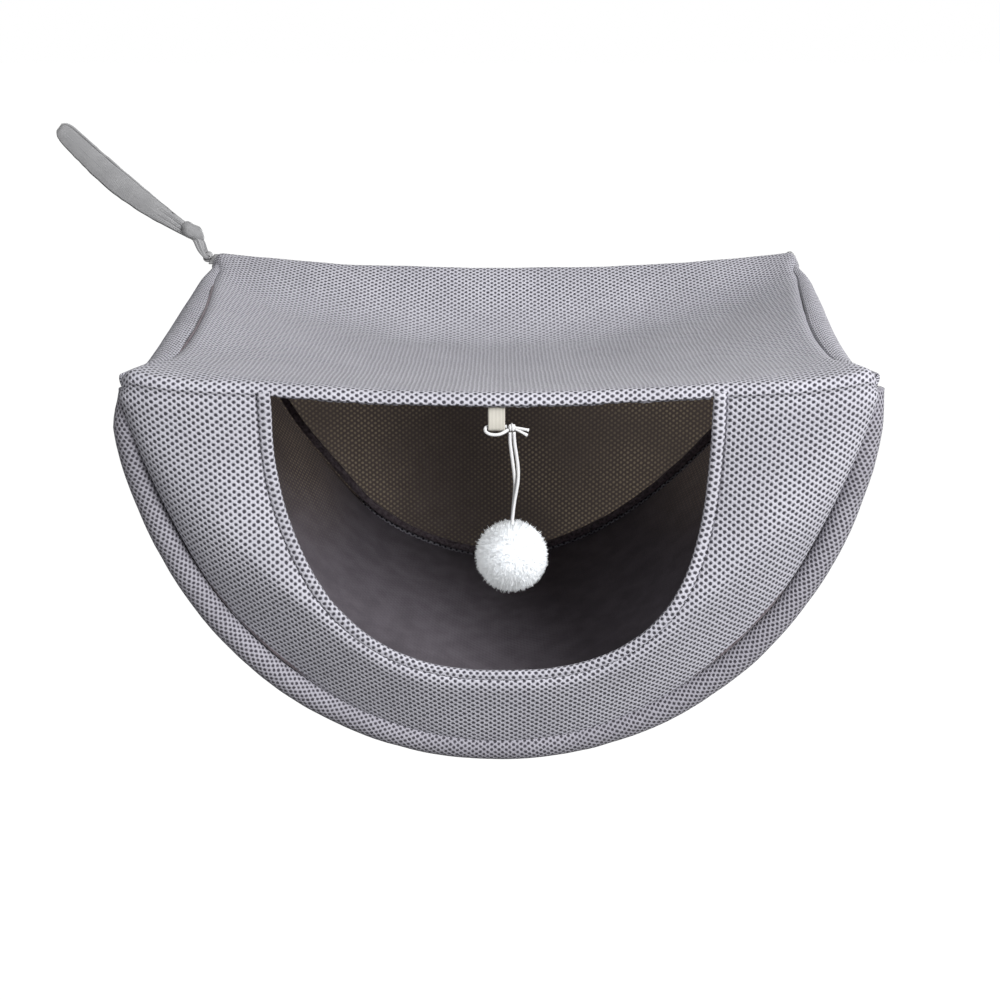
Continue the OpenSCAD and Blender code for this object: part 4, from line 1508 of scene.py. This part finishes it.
@dataclass
class Toy:
    """The tab, the elastic cord with its knot, and the pompom."""

    palette: Palette
    eye: tuple[float, float, float]
    knot: tuple[float, float, float]
    tab_top: float = -13.5
    tab_width: float = 10.0
    cord: float = 2.0
    ball: float = 20.75
    drop: float = 61.3
    core_share: float = 0.88
    root_share: float = 0.74
    tufts: int = 9000
    tuft_length: float = 5.6
    batch: int = 250
    tuft_seed: int = 11
    clump_seed: int = 1795878545
    loop_route: tuple[tuple[float, float, float], ...] = (
        (6, 0, 0), (4, 0, 0), (2, 0, 0), (0, 0, 0), (-2, 0, 0), (-4, 0, 0), (-5, 0, 0),
        (-6, -0.5, -0.2), (-6.7, -1.5, -0.8), (-6.6, -2.8, -1.8), (-5.6, -3.8, -2.6),
        (-4, -4.4, -3.2), (-2, -4.6, -3.5), (0, -4.6, -3.5), (2, -4.4, -3.2), (4, -3.8, -2.5),
        (5.6, -2.8, -1.8), (6.6, -2, -1.2))
    right_route: tuple[tuple[float, float, float], ...] = (
        (1.2, 0, -3), (1.4, 0, -7), (1.8, 0, -11), (2.4, 0, -15), (3, 0, -19), (3.5, -0.1, -23),
        (3.8, -0.3, -27), (3.8, -0.6, -31), (3.5, -0.9, -35), (2.9, -1.1, -39), (2.2, -1.2, -43),
        (1.6, -1.2, -47), (1.1, -1.2, -51), (0.7, -1.2, -55), (0.4, -1.2, -59), (0.3, -1.2, -61))
    left_route: tuple[tuple[float, float, float], ...] = (
        (-1.2, 0, -3), (-1.2, 0, -7), (-0.9, 0, -11), (-0.4, 0, -15), (0.1, 0, -19), (0.6, 0.1, -23),
        (1.1, 0.3, -27), (1.5, 0.6, -31), (1.8, 0.9, -35), (1.8, 1.1, -39), (1.6, 1.2, -43),
        (1.3, 1.2, -47), (0.9, 1.2, -51), (0.6, 1.2, -55), (0.4, 1.2, -59), (0.3, 1.2, -61))

    def tab(self) -> None:
        """Makes the cream tab, folded round the cord."""
        x, y, z = self.eye
        fold, apart = 1.9, 0.7
        down, turn = [], []
        for i in range(17):
            out = y - fold * ease(0.25, 1.0, i / 16) - apart
            down.append(Vector((x, out, self.tab_top + (z - self.tab_top) * i / 16)))
        radius = fold + apart
        for i in range(1, 12):
            angle = math.pi * i / 12
            turn.append(Vector((x, y - radius * math.cos(angle), z - radius * math.sin(angle))))
        up = [Vector((x, 2 * y - p.y, p.z)) for p in reversed(down)]
        path = down + turn + up
        bm = bmesh.new()
        Cutting.strip(bm, path, AXIS_X, lambda b: self.tab_width, columns=10)
        bmesh.ops.recalc_face_normals(bm, faces=bm.faces)
        bmesh.ops.solidify(bm, geom=bm.faces[:], thickness=0.5 * MM)
        tab = Cutting.piece(bm, "toy_tab_tape", [self.palette.tab], merge=0.001, closed=True)
        Cutting.settle(tab, "bed", "tab", "toy_tab")

    def string(self, name: str, points: list[Vector], level: Vector, body: str, node: str) -> None:
        """Args:
            name: The piece's name.
            points: Its route in millimetres.
            level: A direction that its rings keep level.
            body: The body it moves with.
            node: The solid that it stands for.
        """
        fine = []
        for i in range(len(points) - 1):
            before, after = points[max(i - 1, 0)], points[min(i + 2, len(points) - 1)]
            for k in range(3):
                t = k / 3
                a, b = points[i], points[i + 1]
                fine.append(0.5 * (2 * a + (b - before) * t + (2 * before - 5 * a + 4 * b - after) * t * t
                                   + (3 * a - before - 3 * b + after) * t ** 3))
        fine.append(points[-1])
        bm = bmesh.new()
        Cutting.tube(bm, fine, lambda a, b: self.cord / 2, 12, level)
        run = Cutting.piece(bm, name, [self.palette.cord], closed=True, merge=0.001)
        Cutting.settle(run, body, "cord", node)
        length = Cutting.runs(fine)[-1]

    def tie(self) -> None:
        """Makes the knot with its two cut ends."""
        middle = Vector(self.knot)

        def cut_end(a: float, b: float) -> float:
            """A cut end of the cord, thicker and frayed at its tip."""
            return 0.85 + 0.35 * ease(0.75, 1.0, b) * (0.6 + 0.4 * math.cos(18 * a))

        def wrapped(a: float, b: float) -> float:
            """A round knot with wraps that slant round it."""
            wrap = 2.35 + 0.3 * math.sin(math.tau * (a + 2.5 * b))
            return wrap * math.sqrt(max(0.05, 1 - (2 * b - 1) ** 2))

        bm = bmesh.new()
        for turn in (97.0, 116.0):
            way = Vector((math.sin(math.radians(turn)), 0, math.cos(math.radians(turn))))
            path = [middle + way * (1.6 + 8.4 * i / 9) + Vector((0, 0.25 * i / 9, -0.12 * (i / 9) ** 2 * 6))
                    for i in range(10)]
            Cutting.tube(bm, path, cut_end, 12, AXIS_Y)
        wraps = [middle + Vector((2.3 * (i / 20 - 1), 0, 0)) for i in range(41)]
        Cutting.tube(bm, wraps, wrapped, 20, AXIS_Y)
        tie = Cutting.piece(bm, "toy_knot_cord", [self.palette.cord], closed=True, merge=0.001)
        Cutting.settle(tie, "toy", "cord", "toy_knot")

    def pompom(self) -> None:
        """Makes the pompom from a soft core and many short tufts."""
        dice = random.Random(self.tuft_seed)
        noise.seed_set(self.clump_seed)
        centre = Vector((self.knot[0], self.knot[1], self.knot[2] - self.drop - self.ball))
        bm = bmesh.new()
        bmesh.ops.create_icosphere(bm, subdivisions=5, radius=self.ball * self.core_share * MM,
                                   matrix=Matrix.Translation(centre * MM))
        for vert in bm.verts:
            way = (vert.co - centre * MM).normalized()
            vert.co += way * (0.9 * MM * noise.noise(way * 6.0))
        for first in range(0, self.tufts, self.batch):
            tuft = bmesh.new()
            for i in range(first, min(first + self.batch, self.tufts)):
                z = 1 - 2 * (i + 0.5) / self.tufts
                turn = math.pi * (3 - math.sqrt(5)) * i
                flat = math.sqrt(1 - z * z)
                way = Vector((flat * math.cos(turn), flat * math.sin(turn), z))
                clump = noise.noise_vector(way * 8.0)
                lean = Vector((dice.gauss(0, 0.1), dice.gauss(0, 0.1), dice.gauss(0, 0.1) - 0.05))
                tilt = (way + lean + 0.5 * clump).normalized()
                uneven = abs(dice.gauss(0, 0.9)) + 0.9 * noise.noise(way * 8.0)
                long = (self.tuft_length + uneven) * MM
                root = centre * MM + way * (self.ball * self.root_share * MM)
                stand = tilt.to_track_quat("Z", "Y").to_matrix().to_4x4()
                bmesh.ops.create_cone(tuft, segments=3, radius1=0.36 * MM, radius2=0.09 * MM, depth=long,
                                      matrix=Matrix.Translation(root + tilt * (long / 2)) @ stand)
            batch = bpy.data.meshes.new("tufts")
            tuft.to_mesh(batch)
            tuft.free()
            bm.from_mesh(batch)
            bpy.data.meshes.remove(batch)
        for face in bm.faces:
            face.smooth = True
        ball = Cutting.piece(bm, "pompom_fur", [self.palette.fur], merge=0.0001)
        looks = []
        for vert in ball.data.vertices:
            stray = noise.noise_vector(vert.co / (1.3 * MM))
            looks.append(((vert.co - centre * MM).normalized() + 0.8 * stray).normalized())
        ball.data.normals_split_custom_set_from_vertices(looks)
        Cutting.settle(ball, "toy", "pompom", "pompom")

    def build(self) -> None:
        """Makes the whole toy."""
        eye, knot = Vector(self.eye), Vector(self.knot)
        self.string("toy_loop_cord", [eye + Vector(p) for p in self.loop_route], AXIS_Z,
                    "toy_hanger", "toy_cord_loop")
        for name, route, node in (("toy_right_cord", self.right_route, "toy_strand_right"),
                                  ("toy_left_cord", self.left_route, "toy_strand_left")):
            points = [knot + Vector(p) for p in route]
            self.string(name, points, AXIS_Y, "toy", node)
        self.tab()
        self.tie()
        self.pompom()


@dataclass
class Studio:
    """The camera, the soft lights and the white surroundings."""

    camera_at: tuple[float, float, float] = (0.0005, -1.091, 0.294)
    pitch: float = 21.49
    lens: float = 60.9
    floor_z: float = -0.95

    def camera(self) -> None:
        """Sets the camera at the photograph's angle."""
        data = bpy.data.cameras.new("camera")
        data.lens = self.lens
        data.sensor_width = 36.0
        data.clip_end = 50.0
        camera = bpy.data.objects.new("camera", data)
        camera.location = self.camera_at
        camera.rotation_euler = (math.radians(90.0 - self.pitch), 0.0, 0.0)
        bpy.context.scene.collection.objects.link(camera)
        bpy.context.scene.camera = camera

    def lamp(self, name: str, at: tuple[float, float, float], size: float, power: float) -> None:
        """Adds a soft lamp that looks at the bed."""
        data = bpy.data.lights.new(name, "AREA")
        data.shape = "DISK"
        data.size = size
        data.energy = power
        lamp = bpy.data.objects.new(name, data)
        lamp.location = at
        aim = Vector((0, 0, -0.1)) - Vector(at)
        lamp.rotation_euler = aim.to_track_quat("-Z", "Y").to_euler()
        bpy.context.scene.collection.objects.link(lamp)

    @staticmethod
    def seen(tree: bpy.types.NodeTree) -> bpy.types.NodeSocket:
        """A share that is 1 for what the camera sees, straight, in a gloss or through something clear."""
        path = tree.nodes.new("ShaderNodeLightPath")
        share = path.outputs["Is Camera Ray"]
        for name in ("Is Glossy Ray", "Is Transmission Ray"):
            most = tree.nodes.new("ShaderNodeMath")
            most.operation = "MAXIMUM"
            tree.links.new(share, most.inputs[0])
            tree.links.new(path.outputs[name], most.inputs[1])
            share = most.outputs[0]
        return share

    def surroundings(self) -> None:
        """Makes the white world and the pale floor."""
        world = bpy.data.worlds.new("studio")
        world.use_nodes = True
        tree = world.node_tree
        tree.nodes.clear()
        out = tree.nodes.new("ShaderNodeOutputWorld")
        mix = tree.nodes.new("ShaderNodeMixShader")
        for slot, level in ((1, 0.16), (2, 1.0)):
            back = tree.nodes.new("ShaderNodeBackground")
            back.inputs["Color"].default_value = (1.0, 1.0, 1.0, 1.0)
            back.inputs["Strength"].default_value = level
            tree.links.new(back.outputs[0], mix.inputs[slot])
        tree.links.new(self.seen(tree), mix.inputs[0])
        tree.links.new(mix.outputs[0], out.inputs["Surface"])
        bpy.context.scene.world = world
        bm = bmesh.new()
        bmesh.ops.create_grid(bm, x_segments=1, y_segments=1, size=9.0)
        bmesh.ops.translate(bm, vec=Vector((0, 0, self.floor_z)), verts=bm.verts)
        floor_paint = bpy.data.materials.new("floor")
        floor_paint.use_nodes = True
        tree = floor_paint.node_tree
        shader = tree.nodes["Principled BSDF"]
        shader.inputs["Base Color"].default_value = (0.16, 0.16, 0.16, 1.0)
        shader.inputs["Roughness"].default_value = 1.0
        glow = tree.nodes.new("ShaderNodeEmission")
        glow.inputs["Strength"].default_value = 1.2
        share = tree.nodes.new("ShaderNodeMath")
        share.operation = "MULTIPLY"
        share.inputs[1].default_value = 0.85
        tree.links.new(self.seen(tree), share.inputs[0])
        blend = tree.nodes.new("ShaderNodeMixShader")
        tree.links.new(share.outputs[0], blend.inputs[0])
        tree.links.new(shader.outputs[0], blend.inputs[1])
        tree.links.new(glow.outputs[0], blend.inputs[2])
        tree.links.new(blend.outputs[0], tree.nodes["Material Output"].inputs["Surface"])
        floor = Cutting.piece(bm, "floor", [floor_paint])

    def build(self) -> None:
        """Sets up the studio."""
        bpy.context.scene.view_settings.view_transform = "Standard"
        self.camera()
        self.lamp("key", at=(1.15, -1.45, 1.0), size=1.1, power=66.0)
        self.lamp("fill", at=(-1.2, -1.3, 0.8), size=1.4, power=9.0)
        self.lamp("rear", at=(0.5, 1.7, -0.2), size=1.4, power=26.0)
        self.surroundings()


def main() -> None:
    """Builds the dressed hammock piece by piece."""
    logging.basicConfig(level=logging.INFO, format="%(name)s: %(message)s")
    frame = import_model()
    places = {joint["name"]: tuple(c / MM for c in joint["pos_m"]) for joint in frame["joints"]}
    Studio().build()
    palette = Palette()
    shape = BedShape()
    Toy(palette, places["toy_swing_fore_aft"], places["toy_swing_sideways"]).build()
    Shell(shape, palette).build()
    Bowl(shape, palette).build()
    RearPanel(shape, palette).build()
    Trim(shape, palette).build()
    rear, front = places["rear_right_strap_swing"], places["front_right_strap_swing"]
    Strap(palette, Side.LEFT, "rear", rear, length=142.0, raised=131.0, bow=4.5, rise=6.0).build()
    Strap(palette, Side.RIGHT, "rear", rear, length=142.0, bow=1.5).build()
    for side in Side:
        Strap(palette, side, "front", front, length=70.0, flat_turn=90.0).build()
    for side in Side:
        CornerLoop(palette, side, "rear", rear, seat_x=209.0, ledge=(142.0, 169.8)).build()
        CornerLoop(palette, side, "front", front, seat_x=218.3).build()


if __name__ == "__main__":
    main()
